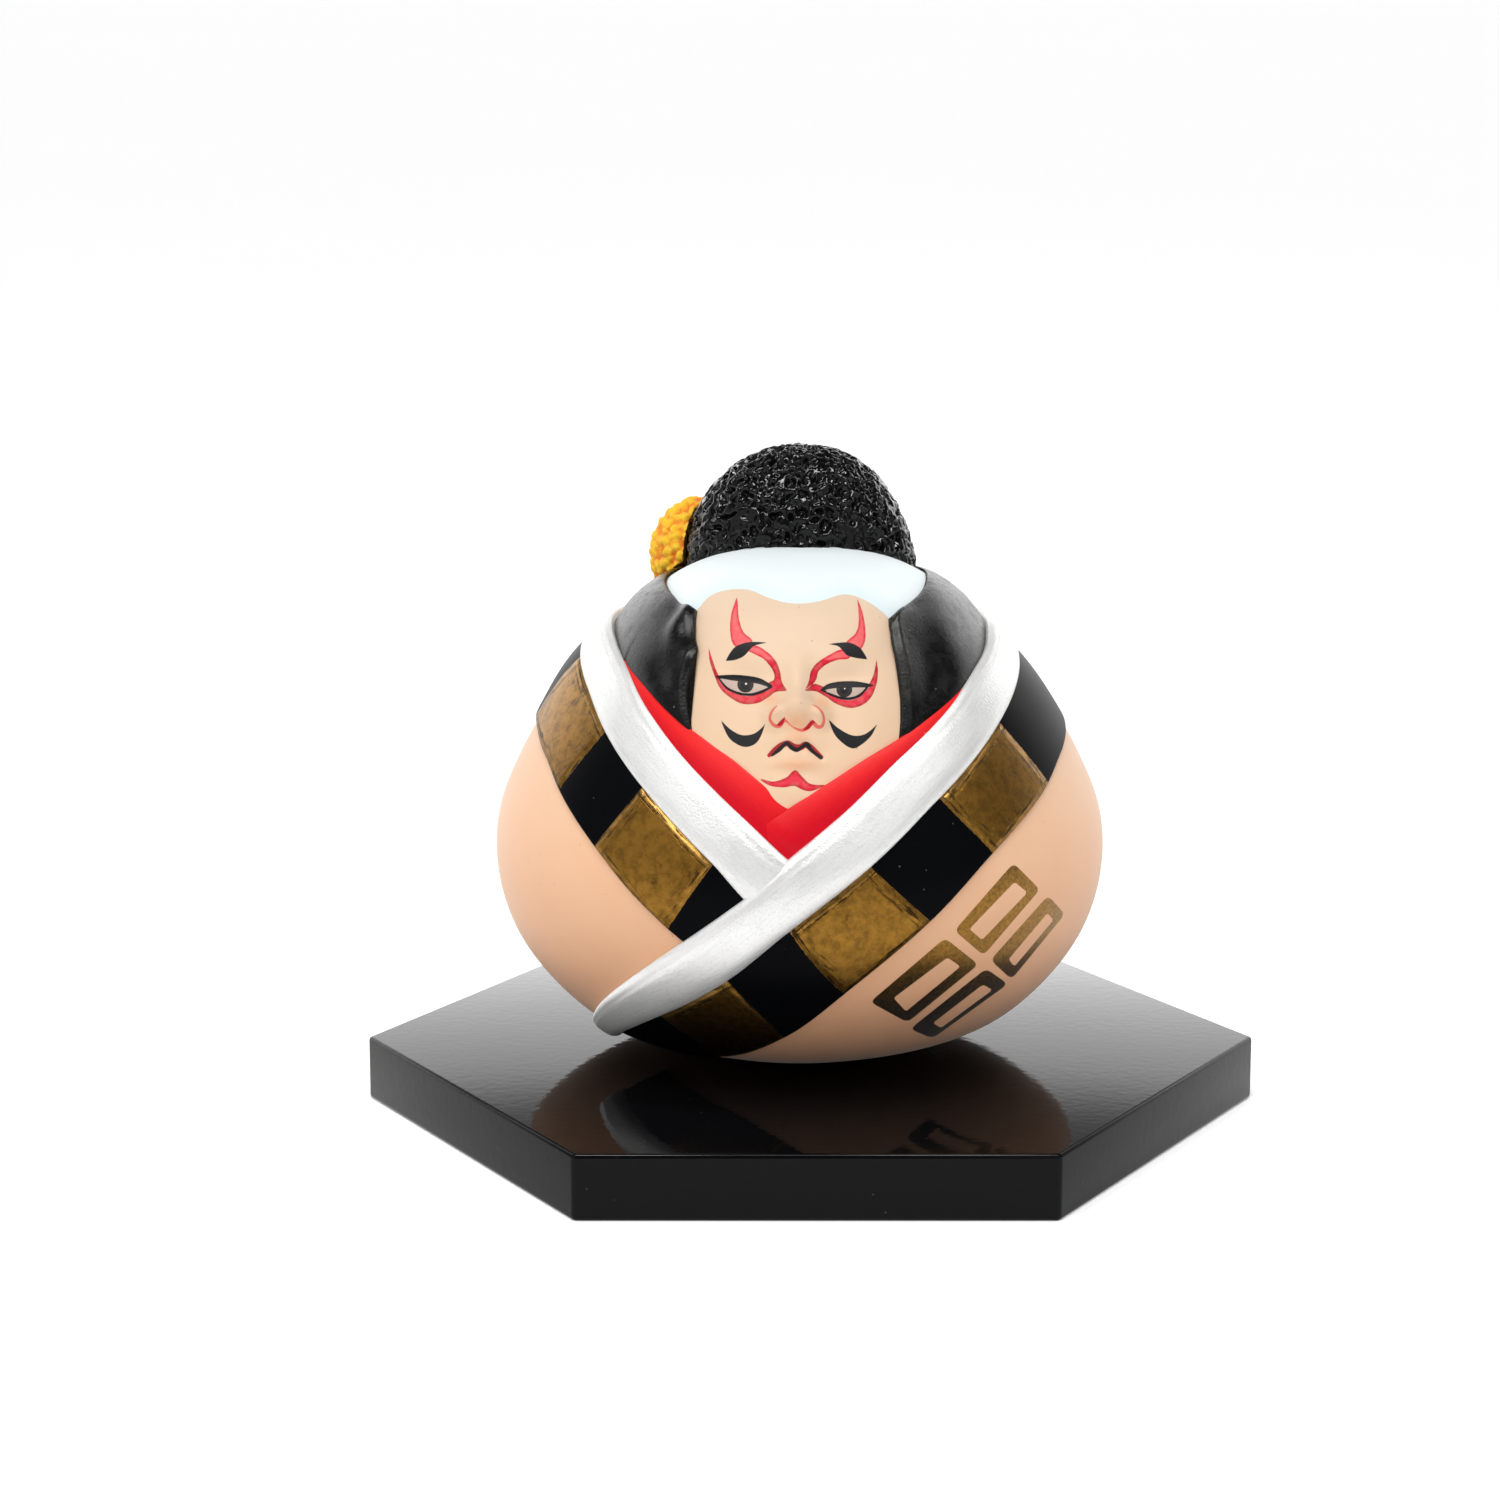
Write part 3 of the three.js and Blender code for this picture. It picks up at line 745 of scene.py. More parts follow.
def clay_grain():
    """Fired clay under matt paint: a fine tooth, scattered pits, specks and slow mottling."""
    tree, n, given, out = shader_group(
        "clay_grain", {"Pits": 1.0, "Tooth": 1.0}, {"Height": 0.0, "Speck": 0.0, "Mottle": 0.0})
    spot = n.place()
    tooth = n.noise(spot, 3.2, 3)
    slow = n.noise(spot, 0.11, 3, 0.55)
    cells = n.add("ShaderNodeTexVoronoi", {"Vector": spot, "Scale": 0.55, "Randomness": 1.0})
    lot = n.add("ShaderNodeSeparateColor", {0: cells.outputs["Color"]}).outputs[0]
    dot = n.spread(cells.outputs["Distance"], 0.09, 0.03)
    speck = n.times(dot, n.spread(lot, 0.72, 0.75))
    deep = n.times(n.times(speck, given["Pits"]), -0.05)
    height = n.times_plus(n.times(tooth, given["Tooth"]), 0.012, deep)
    for socket, value in (("Height", height), ("Speck", speck), ("Mottle", slow)):
        n.tree.links.new(value, out[socket])
    return tree


def brush_streaks():
    """Long fine streaks left by a brush or a cloth along a piece."""
    tree, n, given, out = shader_group(
        "brush_streaks", {"Along": 0.0, "Across": 0.0, "Length": 6.0, "Breadth": 0.25},
        {"Streak": 0.0, "Scratch": 0.0})
    x = n.math("DIVIDE", given["Along"], given["Length"])
    y = n.math("DIVIDE", given["Across"], given["Breadth"])
    spot = n.add("ShaderNodeCombineXYZ", {0: x, 1: y}).outputs[0]
    streak = n.noise(spot, 1.0, 4, 0.6)
    far = n.add("ShaderNodeVectorMath", {0: spot, 1: (31.0, 17.0, 5.0)}, operation="ADD").outputs[0]
    scratch = n.spread(n.noise(far, 0.6, 5, 0.7), 0.53, 0.58)
    n.tree.links.new(streak, out["Streak"])
    n.tree.links.new(scratch, out["Scratch"])
    return tree


def paint_edge():
    """Turns a signed distance in millimetres into the mask of a hand-painted shape."""
    tree, n, given, out = shader_group("paint_edge", {"Distance": 0.0, "Wobble": 0.04}, {"Mask": 0.0})
    waver = n.times(n.less(n.noise(n.place(), 1.6, 2), 0.5), given["Wobble"])
    n.tree.links.new(n.spread(n.math("ADD", given["Distance"], waver), -0.035, 0.035), out["Mask"])
    return tree


SHARED_GROUPS = {"clay_grain": clay_grain, "brush_streaks": brush_streaks, "paint_edge": paint_edge}


def new_material(name, **plain):
    """A material with its shader's plain values, given as socket names with underscores."""
    material = bpy.data.materials.new(name)
    material.use_nodes = True
    shader = material.node_tree.nodes["Principled BSDF"]
    for socket, value in plain.items():
        shader.inputs[socket.replace("_", " ")].default_value = value
    return material, Nodes(material.node_tree), shader.inputs


def join(nodes, inputs, **sockets):
    for name, value in sockets.items():
        nodes.tree.links.new(value, inputs[name.replace("_", " ")])


def bumped(nodes, height):
    """A normal from a height in millimetres."""
    return nodes.add("ShaderNodeBump", {"Height": height, "Distance": MM}).outputs["Normal"]


def painted_shade_below(nodes):
    """Painted shade that darkens the gold paint towards the doll's foot."""
    return nodes.spread(nodes.height(), *GOLD_FADE, 0, 0.85)


def skin_material(colours):
    """Robe, face and scalp paint, with the marks on them, painted shade about the nose and mouth, and painted
    shade on the crest's gold towards the foot.
    """
    material, n, shader = new_material(
        "clay_skin", Specular_IOR_Level=0.25, Sheen_Weight=0.3, Sheen_Roughness=0.4)
    grain = n.grain(1.0, 1.0)

    def mask(name, wobble):
        return n.edge(n.field(name), wobble)

    cloud = n.times_plus(grain["Mottle"], 16.0, n.less(n.height(), 8.0))
    robe = n.mix(n.spread(cloud, *ROBE_FADE), colours.robe_low, colours.robe)
    face = n.mix(n.spread(cloud, *FACE_FADE), colours.face, colours.face_pale)
    colour = n.mix(mask("face_field", 0), robe, face)
    colour = n.mix(n.times(grain["Speck"], 0.45), colour, colours.speck)
    # Painted shade in brown under the nose, beside its bridge and under the lower lip
    colour = n.mix(n.times(n.field("flush"), 0.55), colour, colours.flush)
    edge = n.spread(n.field("scalp"), 0, 2.5, 0.55, 0)
    scalp = n.mix(edge, colours.scalp, colours.scalp_edge)
    colour = n.mix(mask("scalp", 0.06), colour, scalp)
    wash = n.spread(n.noise(n.place(), 0.9, 3), 0.35, 0.65)
    inner = n.times(n.spread(n.field("rouge"), 0.05, 0.5), n.spread(wash, 0, 1, 0.75, 1.0))
    thin = n.less(inner, n.field("deep"))
    rouge = n.mix(n.spread(thin, -1.0, -0.1), colours.rouge_deep, colours.rouge_dark)
    rouge = n.mix(n.spread(thin, -0.1, 0.9), rouge, colours.rouge)
    colour = n.mix(n.times(mask("rouge", 0.06), n.spread(wash, 0, 1, 0.9, 1.0)), colour, rouge)
    colour = n.mix(n.times(mask("nose_line", 0.05), 0.9), colour, colours.nose_line)
    ink = n.mix(n.spread(grain["Mottle"], 0.3, 0.7), colours.ink, colours.ink_worn)
    for name, wobble, paint in (
        ("nostrils", 0.05, colours.rouge_deep), ("lips", 0.08, colours.lips),
        ("eye_white", 0, colours.eye_white), ("iris", 0, colours.iris),
        ("ink", 0.04, ink), ("glint", 0, colours.glint),
    ):
        colour = n.mix(mask(name, wobble), colour, paint)
    gold = mask("crest", 0.05)
    gilt = n.mix(n.spread(n.noise(n.place(), 2.2, 4, 0.65), 0.3, 0.75), colours.gold, colours.gold_dark)
    # Painted shade: the crest's gold darkens towards the foot
    gilt = n.mix(painted_shade_below(n), gilt, colours.ink)
    colour = n.mix(gold, colour, gilt)
    rough = n.less(0.6, n.times(gold, 0.26))
    join(n, shader, Base_Color=colour, Roughness=rough, Metallic=n.times(gold, 0.9),
         Normal=bumped(n, grain["Height"]))
    return material


def collar_material(colours):
    """Pearly white, brushed along the roll, greyer in the strokes, with painted shade along the crease near
    its upper edge and towards its lower edge.
    """
    material, n, shader = new_material("pearl_white", Specular_IOR_Level=0.5)
    along, across, breadth = n.field("along"), n.field("across"), n.field("breadth")
    grain = n.grain(0.6, 1.6)
    brush = n.streaks(along, across, 4.0, 0.35)
    stroke = n.spread(brush["Streak"], 0.4, 0.7)
    colour = n.mix(n.times(stroke, 0.2), colours.collar, colours.collar_grey_and_shade)
    share = n.math("DIVIDE", across, breadth)
    # Painted shade: grey along the crease near the upper edge and towards the lower edge
    upper = n.times(n.spread(share, 0.78, 0.82), n.spread(share, 0.94, 0.86))
    shade = n.times(n.larger(upper, n.spread(share, 0.3, 0.05)), 0.3)
    colour = n.mix(shade, colour, colours.collar_grey_and_shade)
    colour = n.mix(n.times(grain["Speck"], 0.3), colour, colours.speck)
    shimmer = n.noise(n.place(), 3.0, 2, 0.7)
    colour = n.mix(n.spread(shimmer, 0.52, 0.68, 0, 0.3), colour, colours.collar_grey_and_shade)
    height = n.times_plus(brush["Streak"], 0.012, grain["Height"])
    height = n.times_plus(shimmer, 0.06, height)
    join(n, shader, Base_Color=colour, Roughness=n.spread(shimmer, 0.3, 0.7, 0.34, 0.46),
         Metallic=n.spread(stroke, 0, 1, 0.46, 0.58), Normal=bumped(n, height))
    return material


def checks_material(colours):
    """Black squares, and padded bronze-gold ones with painted highlights on the fold beside the collar and
    along the rims, painted shade in a groove, dark scratches, and painted shade towards the foot.
    """
    material, n, shader = new_material("gold_and_black_checks", Specular_IOR_Level=0.03)
    cell, across, breadth = n.field("cell"), n.field("across"), n.field("breadth")
    half = n.math("MODULO", n.times(cell, 0.5), 1.0)
    first = n.times(n.less(half, 0.5), 2 * CHECK_LENGTH)
    last = n.times(n.less(1.0, half), 2 * CHECK_LENGTH)
    to_side = n.smaller(first, last)
    to_collar = n.less(breadth, across)
    to_rim = n.smaller(across, to_side)
    inward = n.smaller(to_rim, to_collar)
    gold = n.edge(to_side, 0.25)
    grain = n.grain(1.0, 2.0)
    travel = n.times(cell, CHECK_LENGTH)
    lengthwise = n.streaks(travel, across, 3.5, 0.35)["Scratch"]
    crosswise = n.streaks(across, travel, 3.5, 0.35)["Scratch"]
    beside_rim = n.spread(n.smaller(across, to_collar), 2.0, 0.9)
    beside_side = n.spread(to_side, 2.2, 0.9)
    scratch = n.larger(n.times(lengthwise, beside_rim), n.times(crosswise, beside_side))
    cloudy = n.spread(n.noise(n.place(), 0.7, 5, 0.75), 0.35, 0.7)
    dents = n.spread(n.noise(n.place(), 0.45, 4, 0.6), 0.62, 0.7, 0, 0.5)
    # Painted shade in the groove in from the collar
    groove = n.times(n.band(to_collar, GROOVE_IN, 0.2, 0.05), n.spread(cloudy, 0.2, 0.6))
    dark = n.larger(n.larger(scratch, dents), groove)
    # Painted highlights: the fold beside the collar, and a fine line in from the rim
    fold = n.times(n.spread(to_collar, *FOLD_IN, 0, 0.28), n.spread(cloudy, 0, 1, 1, 0.4))
    line = n.times(n.band(to_rim, RIM_LINE_IN, 0.14, 0.03, 0.2), n.spread(cloudy, 0.7, 0.2))
    gilt = n.mix(n.times(cloudy, 0.8), colours.gold, colours.gold_dark)
    # Painted highlight on the gold
    gilt = n.mix(n.larger(fold, line), gilt, colours.gold_highlight)
    gilt = n.mix(n.times(dark, 0.8), gilt, colours.ink)
    # Painted shade: the gold darkens towards the foot
    gilt = n.mix(painted_shade_below(n), gilt, colours.ink)
    black = n.mix(n.times(grain["Speck"], 0.5), colours.check_black, colours.dust)
    colour = n.mix(gold, black, gilt)
    height = n.times_plus(n.times(dark, gold), -0.05, grain["Height"])
    pad = n.times(n.spread(inward, -0.1, 0.9), n.spread(gold, 0, 1, 0.1, 0.3))
    join(n, shader, Base_Color=colour, Metallic=n.times(gold, 0.95),
         Roughness=n.spread(n.times(gold, n.spread(cloudy, 0, 1, 0.6, 1)), 0, 1, 0.36, 0.42),
         Normal=bumped(n, n.math("ADD", height, pad)))
    return material


def lining_material(colours):
    """Red paint, slightly orange where it is thin along the brush streaks, with a painted highlight in orange
    towards its upper edge that gives way to painted shade lower down.
    """
    material, n, shader = new_material("red_lining", Roughness=0.42, Specular_IOR_Level=0.18)
    grain = n.grain(0.8, 1.6)
    brush = n.streaks(n.field("along"), n.field("across"), 4.0, 0.5)
    share = n.math("DIVIDE", n.field("across"), n.field("breadth"))
    # Painted highlight towards the upper edge, and thin paint along the streaks
    thin = n.math("ADD", n.spread(share, 0.35, 0.95, 0, 0.8), n.spread(brush["Streak"], 0.4, 0.8, 0, 0.2))
    # Painted shade: less of the orange lower down
    thin = n.times(thin, n.spread(n.height(), *LINING_FADE, 0.2, 1.0))
    colour = n.mix(thin, colours.red, colours.red_thin_and_lit)
    colour = n.mix(n.times(grain["Speck"], 0.3), colour, colours.face)
    height = n.times_plus(brush["Streak"], 0.004, grain["Height"])
    join(n, shader, Base_Color=colour, Normal=bumped(n, height))
    return material


def hair_material(colours):
    """Satin charcoal paint, grainy to the light, with fine dust specks, paler rubbed places and a painted
    highlight on the facet beside the face.
    """
    material, n, shader = new_material("charcoal_hair", Specular_IOR_Level=0.22)
    grain = n.grain(1.0, 2.0)
    rubbed = n.spread(n.noise(n.place(), 0.5, 5, 0.65), 0.45, 0.72)
    colour = n.mix(n.times(rubbed, 0.6), colours.hair, colours.hair_worn)
    # Painted highlight on the facet beside the face
    wear = n.times(n.field("wear"), n.spread(rubbed, 0, 1, 0.5, 1.0))
    colour = n.mix(wear, colour, colours.hair_edge_highlight)
    colour = n.mix(n.times(grain["Speck"], 0.7), colour, colours.dust)
    height = n.times_plus(n.noise(n.place(), 2.6, 3, 0.7), 0.05, grain["Height"])
    join(n, shader, Base_Color=colour, Roughness=n.spread(rubbed, 0, 1, 0.27, 0.4), Normal=bumped(n, height))
    return material


def tuft_material(colours):
    """Glossy black paint over crinkled hair, duller in the pits."""
    material, n, shader = new_material("glossy_tuft", Specular_IOR_Level=0.27)
    crest = n.field("crinkle")
    fine = n.noise(n.place(), 1.2, 2)
    colour = n.mix(n.spread(crest, 0.1, 0.9), colours.ink, colours.tuft)
    rough = n.spread(n.math("ADD", crest, fine), 0.4, 1.5, 0.09, 0.05)
    join(n, shader, Base_Color=colour, Roughness=rough, Normal=bumped(n, n.times(fine, 0.015)))
    return material


def crepe_material(colours):
    """Crinkled yarn: golden on the loops, with painted shade in deep orange between them."""
    material, n, shader = new_material("orange_crepe", Roughness=0.85, Sheen_Weight=0.1, Sheen_Roughness=0.5)
    crest = n.field("crinkle")
    fibre = n.add("ShaderNodeTexNoise", {"Vector": n.place(), "Scale": 3.0, "Detail": 4.0, "Distortion": 1.5})
    # Painted shade in deep orange between the crinkles
    colour = n.mix(n.spread(crest, 0.15, 0.85), colours.crepe_crevice_shade, colours.crepe)
    colour = n.mix(n.spread(fibre.outputs["Fac"], 0.45, 0.7, 0, 0.5), colour, colours.crepe_light)
    join(n, shader, Base_Color=colour, Normal=bumped(n, n.times(fibre.outputs["Fac"], 0.18)))
    return material


def lacquer_material(colours):
    """Black gloss lacquer with a faint orange-peel skin and a little dust."""
    material, n, shader = new_material("black_lacquer", IOR=1.2)
    peel = n.noise(n.place(), 0.75, 2)
    grain = n.grain(0.0, 0.1)
    colour = n.mix(n.times(grain["Speck"], 0.25), colours.lacquer, colours.dust)
    rough = n.spread(n.noise(n.place(), 0.05, 3), 0.3, 0.7, 0.04, 0.09)
    join(n, shader, Base_Color=colour, Roughness=rough, Normal=bumped(n, n.times(peel, 0.018)))
    return material


def stage_material(colours):
    """The pale floor, faintly uneven."""
    white = (1.0, 1.0, 1.0, 1.0)
    material, n, shader = new_material(
        "pale_floor", Roughness=0.9, Specular_IOR_Level=0.1, Emission_Color=white, Emission_Strength=0.27)
    colour = n.mix(n.noise(n.place(1.0), 3.0, 3), colours.floor, colours.floor_shade)
    join(n, shader, Base_Color=colour)
    return material


def lattice_faces(columns, rows, steps):
    """Faces over a lattice whose cells are cut into steps by steps faces, with no cracks between them."""
    def key(i, j):
        return (i % (columns * FINEST), j)

    faces = []
    for c in range(columns):
        for r in range(rows):
            count = steps[c, r]
            size = FINEST // count
            left, low = c * FINEST, r * FINEST
            if count > 1:
                for a in range(left, left + FINEST, size):
                    for b in range(low, low + FINEST, size):
                        faces.append([key(a, b), key(a + size, b), key(a + size, b + size), key(a, b + size)])
                continue
            beside = [
                steps[c, r - 1] if r else 1, steps[(c + 1) % columns, r],
                steps[c, r + 1] if r < rows - 1 else 1, steps[(c - 1) % columns, r],
            ]
            corners = [(left, low), (left + FINEST, low), (left + FINEST, low + FINEST), (left, low + FINEST)]
            ways = [(1, 0), (0, 1), (-1, 0), (0, -1)]
            face = []
            for (i, j), (di, dj), cuts in zip(corners, ways, beside):
                face += [key(i + di * s, j + dj * s) for s in range(0, FINEST, FINEST // cuts)]
            faces.append(face)
    return faces


def face_relief(across, height):
    """How far the face's broad forms stand out, in millimetres."""
    total = 0
    for aside, up, rise, wide, tall in FACE_FORMS:
        beside = hump(np.abs(across), aside * BODY_HEIGHT, wide * BODY_HEIGHT)
        total = total + rise * BODY_HEIGHT * beside * hump(height, up * BODY_HEIGHT, tall * BODY_HEIGHT)
    return total


def fine_relief(spots):
    """Creases and lids, in millimetres, from picture points."""
    def crease(kind, gap):
        rise, reach = CREASES[kind]
        return rise * hump(gap * FACE_PIXEL, 0, reach)

    relief = crease("nose", to_line(spots, curve(NOSE_LINE)[:, :2]))
    relief = relief + crease("mouth", to_line(spots, curve(MOUTH_LINE)[:, :2]))
    for opening, lid in zip(EYE_OPENINGS, UPPER_LIDS):
        within = inside(spots, leaf(opening))
        relief = relief + EYE_RISE * ease(within * FACE_PIXEL, -0.1, EYE_ROUND) + crease("eye_rim", within)
        relief = relief + crease("lid", to_line(spots - LID_RIM_SHIFT, curve(lid)[:, :2]))
    return relief


def in_area(longitude, latitude, area):
    low, high = area["rows"]
    return (np.abs(longitude) < area["side"]) & (latitude > low) & (latitude < high)


def skin_points(longitude, latitude):
    """The skin of the bare figure with its face."""
    distance = body_distance(longitude, latitude)
    bare = place(longitude, latitude, distance)
    plain = distance * np.cos(np.radians(latitude))
    across = plain * np.sin(np.radians(longitude))
    height = BODY_HEIGHT * HEART + distance * np.sin(np.radians(latitude))
    relief = np.where(in_area(longitude, latitude, FACE_AREA), face_relief(across, height), 0)
    near = np.flatnonzero(in_area(longitude, latitude, FEATURE_AREA))
    relief[near] += fine_relief(picture(bare[near]))
    return place(longitude, latitude, distance + relief)


def build_skin(material):
    """Body, face and scalp in one skin, finest over the face, with the places of all the paint."""
    columns = round(360 / CELL)
    rows = round((90 - RIM) / CELL)
    row_step = (90 - RIM) / rows
    steps = np.ones((columns, rows), int)
    for region in FINER:
        side, span = region["side"], region["rows"]
        c = np.arange(round(side[0] / CELL), round(side[1] / CELL)) % columns
        r = np.arange(round((span[0] - RIM) / row_step), round((span[1] - RIM) / row_step))
        steps[np.ix_(c, r)] = region["steps"]
    keyed = lattice_faces(columns, rows, steps)
    keys = sorted({k for face in keyed for k in face})
    number = {k: i for i, k in enumerate(keys)}
    lattice = np.array(keys, float)
    longitude = (lattice[:, 0] * CELL / FINEST + 180) % 360 - 180
    latitude = RIM + lattice[:, 1] * row_step / FINEST
    points = skin_points(longitude, latitude)
    faces = [[number[k] for k in face] for face in keyed]
    faces.append([number[k] for k in keys if k[1] == 0])
    piece = make_piece("painted_figure", points, faces, material, sharp=60)
    work = bmesh.new()
    work.from_mesh(piece.data)
    crown = [v for v in work.verts if v.co.z / MM > PLINTH_TOP + BODY_HEIGHT - 0.5]
    bmesh.ops.remove_doubles(work, verts=crown, dist=1e-7)
    work.to_mesh(piece.data)
    work.free()
    longitude, latitude, spots = seen_from(piece)
    aside = np.abs(longitude)
    facing = aside < FRONT

    def painted_front(**shapes):
        return np.where(facing, painted(spots, **shapes), FAR_OUT)

    line = curve(HAIRLINE)
    above = np.vstack([line, [(line[-1, 0], SCALP_TOP_IN_PICTURE), (line[0, 0], SCALP_TOP_IN_PICTURE)]])
    back_scalp = (latitude - SCALP_BACK) * SCALP_BACK_SLOPE
    scalp = np.where(aside < TEMPLE, inside(spots, above) * FACE_PIXEL, back_scalp)
    openings = painted_front(leaves=EYE_OPENINGS)
    # Painted shade about the nose and the mouth
    flush = 0
    for x, y, wide, tall in PAINTED_SHADES:
        flush = flush + hump(spots[:, 0], x, wide) * hump(spots[:, 1], y, tall)
    deep = np.where(spots[:, 1] > EYES_FROM, np.where(spots[:, 1] < CHIN_FROM, 1.0, CHIN_DEEP), 0)
    for x, y, radius in DEEP_ROUGE:
        deep = deep + SPOT_DEEP * hump(np.hypot(spots[:, 0] - x, spots[:, 1] - y), 0, radius)
    mark(
        piece,
        scalp=np.where(latitude > SCALP_LOWEST, scalp, FAR_OUT),
        face_field=np.where(aside < TEMPLE, latitude - FACE_FOOT - FACE_FOOT_SLOPE * aside, FAR_OUT),
        rouge=painted_front(leaves=FOREHEAD_ROUGE + INNER_ROUGE + EYE_ROUGE + CHIN_ROUGE),
        deep=np.minimum(deep, 1),
        nose_line=painted_front(strokes=[NOSE_LINE]),
        nostrils=painted_front(strokes=NOSTRILS),
        lips=painted_front(strokes=[LIPS]),
        eye_white=openings,
        iris=np.minimum(painted_front(dots=IRISES), openings),
        ink=union([
            painted_front(leaves=BROWS + CHEEK_MARKS, strokes=UPPER_LIDS + LOWER_LIDS + [MOUTH_LINE]),
            np.minimum(painted_front(dots=PUPILS), openings),
        ]),
        glint=painted_front(dots=GLINTS),
        crest=np.where(facing, crest_field(spots), FAR_OUT),
        flush=np.where(facing, np.minimum(flush, 1), 0),
    )
    return piece


def seen_from(piece):
    """Each point's longitude and latitude on the figure, and its place in the picture."""
    co = np.empty(len(piece.data.vertices) * 3)
    piece.data.vertices.foreach_get("co", co)
    points = co.reshape(-1, 3) / MM
    offset = points - (FIGURE_X, FIGURE_Y, PLINTH_TOP)
    across, back = offset @ RIGHT_FACING, offset @ BACK_FACING
    height = offset[:, 2] - BODY_HEIGHT * HEART
    longitude = np.degrees(np.arctan2(across, -back))
    latitude = np.degrees(np.arctan2(height, np.hypot(across, back)))
    return longitude, latitude, picture(points)


def edge_of(table):
    """An edge that runs round the body: degrees above the heart for degrees round from the nose."""
    return lambda around: smooth(table, around)


def between(low, high, share):
    """The edge that lies at a share of the way from one edge to another."""
    return lambda around: low(around) + share * (high(around) - low(around))


left_top, left_foot = edge_of(LEFT_SHOULDER_COLLAR_TOP), edge_of(LEFT_SHOULDER_COLLAR_FOOT)
right_top = edge_of(RIGHT_SHOULDER_COLLAR_TOP)


def under_left(share):
    return between(left_foot, left_top, share)


def right_foot(around):
    return np.maximum(smooth(RIGHT_SHOULDER_COLLAR_FOOT, around), under_left(UNDER_COLLAR["collar"])(-around))


def under_right(share):
    return between(right_foot, right_top, share)


def section_shares(edge_rows=6, rows=26, edge=0.06):
    """Places across a layer, close together at its two rounded edges."""
    near = edge * (1 - np.cos(np.linspace(0, pi / 2, edge_rows)))
    middle = np.linspace(edge, 1 - edge, rows)[1:-1]
    return np.concatenate([near, middle, 1 - near[::-1]])


def run_shares(columns, end_columns=7, end_part=90):
    """Places along a layer, with more of them in the first part, where its end is rounded."""
    first = np.linspace(0, 1, end_columns)[:-1] ** 2 / end_part
    return np.unique(np.concatenate([first, np.linspace(0, 1, columns + 1)]))


def wrap_layer(name, side, start, end, top, foot, rise, material, columns):
    """A closed layer wrapped round one side of the body, with rounded edges. Its rise is given for the share
    across it and the share along it."""
    run = run_shares(columns)
    around = start + (end - start) * run
    share = section_shares()
    low, high = foot(around)[:, None], top(around)[:, None]
    latitude = low + share * (high - low)
    longitude = np.repeat(around[:, None], len(share), 1)
    distance = body_distance(longitude, latitude)
    breadth = np.radians(high - low) * distance
    across = share * breadth
    travel = np.radians(around - start)[:, None] * distance * np.cos(np.radians(latitude))
    height = rise(share[None, :], run[:, None])
    to_edge = np.minimum(across, breadth - across)
    edge_part = np.minimum(EDGE_ROUND / np.maximum(height, 0.1), 1)
    height = height * (1 - (1 - round_over(to_edge, EDGE_ROUND)) * edge_part)
    height = height * round_over(travel + 0.04, END_ROUND)
    height, latitude, longitude = with_root(height, latitude, longitude)
    fuller = SHOULDER_FULLNESS[side] * hump(longitude, *SHOULDER_AROUND) * hump(latitude, *SHOULDER_UP)
    points = place(side * longitude, latitude, body_distance(longitude, latitude) + height + fuller)
    rows = longitude.shape[1]
    piece = make_piece(name, points, sweep_faces(len(around) - 1, rows), material)
    share = np.broadcast_to(np.pad(share, 1, "edge"), longitude.shape)
    along = np.cumsum(np.concatenate([[0], arc(around, low[:, 0])]))[:, None]
    wide = np.repeat(breadth[:, :1], rows, 1)
    mark(piece, along=np.repeat(along, rows, 1), across=share * wide, breadth=wide)
    return piece, longitude.ravel(), share.ravel()


def arc(around, latitude):
    """Lengths of the steps along an edge, in millimetres."""
    points = place(around, latitude, body_distance(around, latitude))
    return np.linalg.norm(np.diff(points, axis=0), axis=1)


def roll(front_rise):
    """A collar's soft roll and crease. Its rise goes from this at the front to the nape's."""
    def rise(across, along):
        tall = front_rise + (NAPE_COLLAR_RISE - front_rise) * along
        crease = CREASE_DEPTH * hump(across, CREASE_AT, 0.05)
        return tall * from_least(COLLAR_EDGE, 1 - (2 * across - 1) ** 4) - crease
    return rise


def even(rise):
    """The same rise all over a layer."""
    return lambda across, along: rise + 0 * across + 0 * along


def soft_roll(across):
    """The section of a lining, fullest in the middle of what shows."""
    return 1 - 0.35 * ((across - LINING_CREST) / (1 - LINING_CREST)) ** 2


def sunk_at_crossing(rise, around, top, foot):
    """The left lining's rise: it thins out towards the other side's collar and dips under it."""
    def height(across, along):
        round_here = around[0] + (around[-1] - around[0]) * along
        latitude = foot(round_here) + across * (top(round_here) - foot(round_here))
        clear = latitude - smooth(RIGHT_SHOULDER_COLLAR_TOP, -round_here)
        grown = from_least(LEFT_CROSSING["least"], ease(clear, *LEFT_CROSSING["grows"]))
        dip = LEFT_CROSSING["dip"] * ease(-clear, *LEFT_CROSSING["dips"])
        return rise * soft_roll(across) * grown - dip
    return height


def thin_at_crossing(rise, around):
    """The right lining's rise: it thins out where the left one lies over it."""
    def height(across, along):
        round_here = around[0] + (around[-1] - around[0]) * along
        grown = from_least(RIGHT_CROSSING["least"], ease(round_here, *RIGHT_CROSSING["grows"]))
        return rise * soft_roll(across) * grown
    return height


def checks_along(checks, around, share):
    """Counts the checks along a band, so that the part after the point tells how far into one a place is."""
    edges = [foot + share * (top - foot) for top, foot in checks]
    count = 1 + np.minimum((around - edges[0]) / FIRST_CHECK_DEGREES, 0)
    for this, following in zip(edges, edges[1:]):
        count = count + np.clip((around - this) / (following - this), 0, 1)
    return count


def build_collars(material, sizes):
    """The two white collars, crossed in front."""
    wrap_layer("collar_left", 1, HEM, NAPE, left_top, left_foot, roll(sizes.left_collar / MM), material, 330)
    wrap_layer("collar_right", -1, RIGHT_SHOULDER_COLLAR_TOP[1][0], NAPE, right_top, right_foot,
               roll(sizes.right_collar / MM), material, 260)


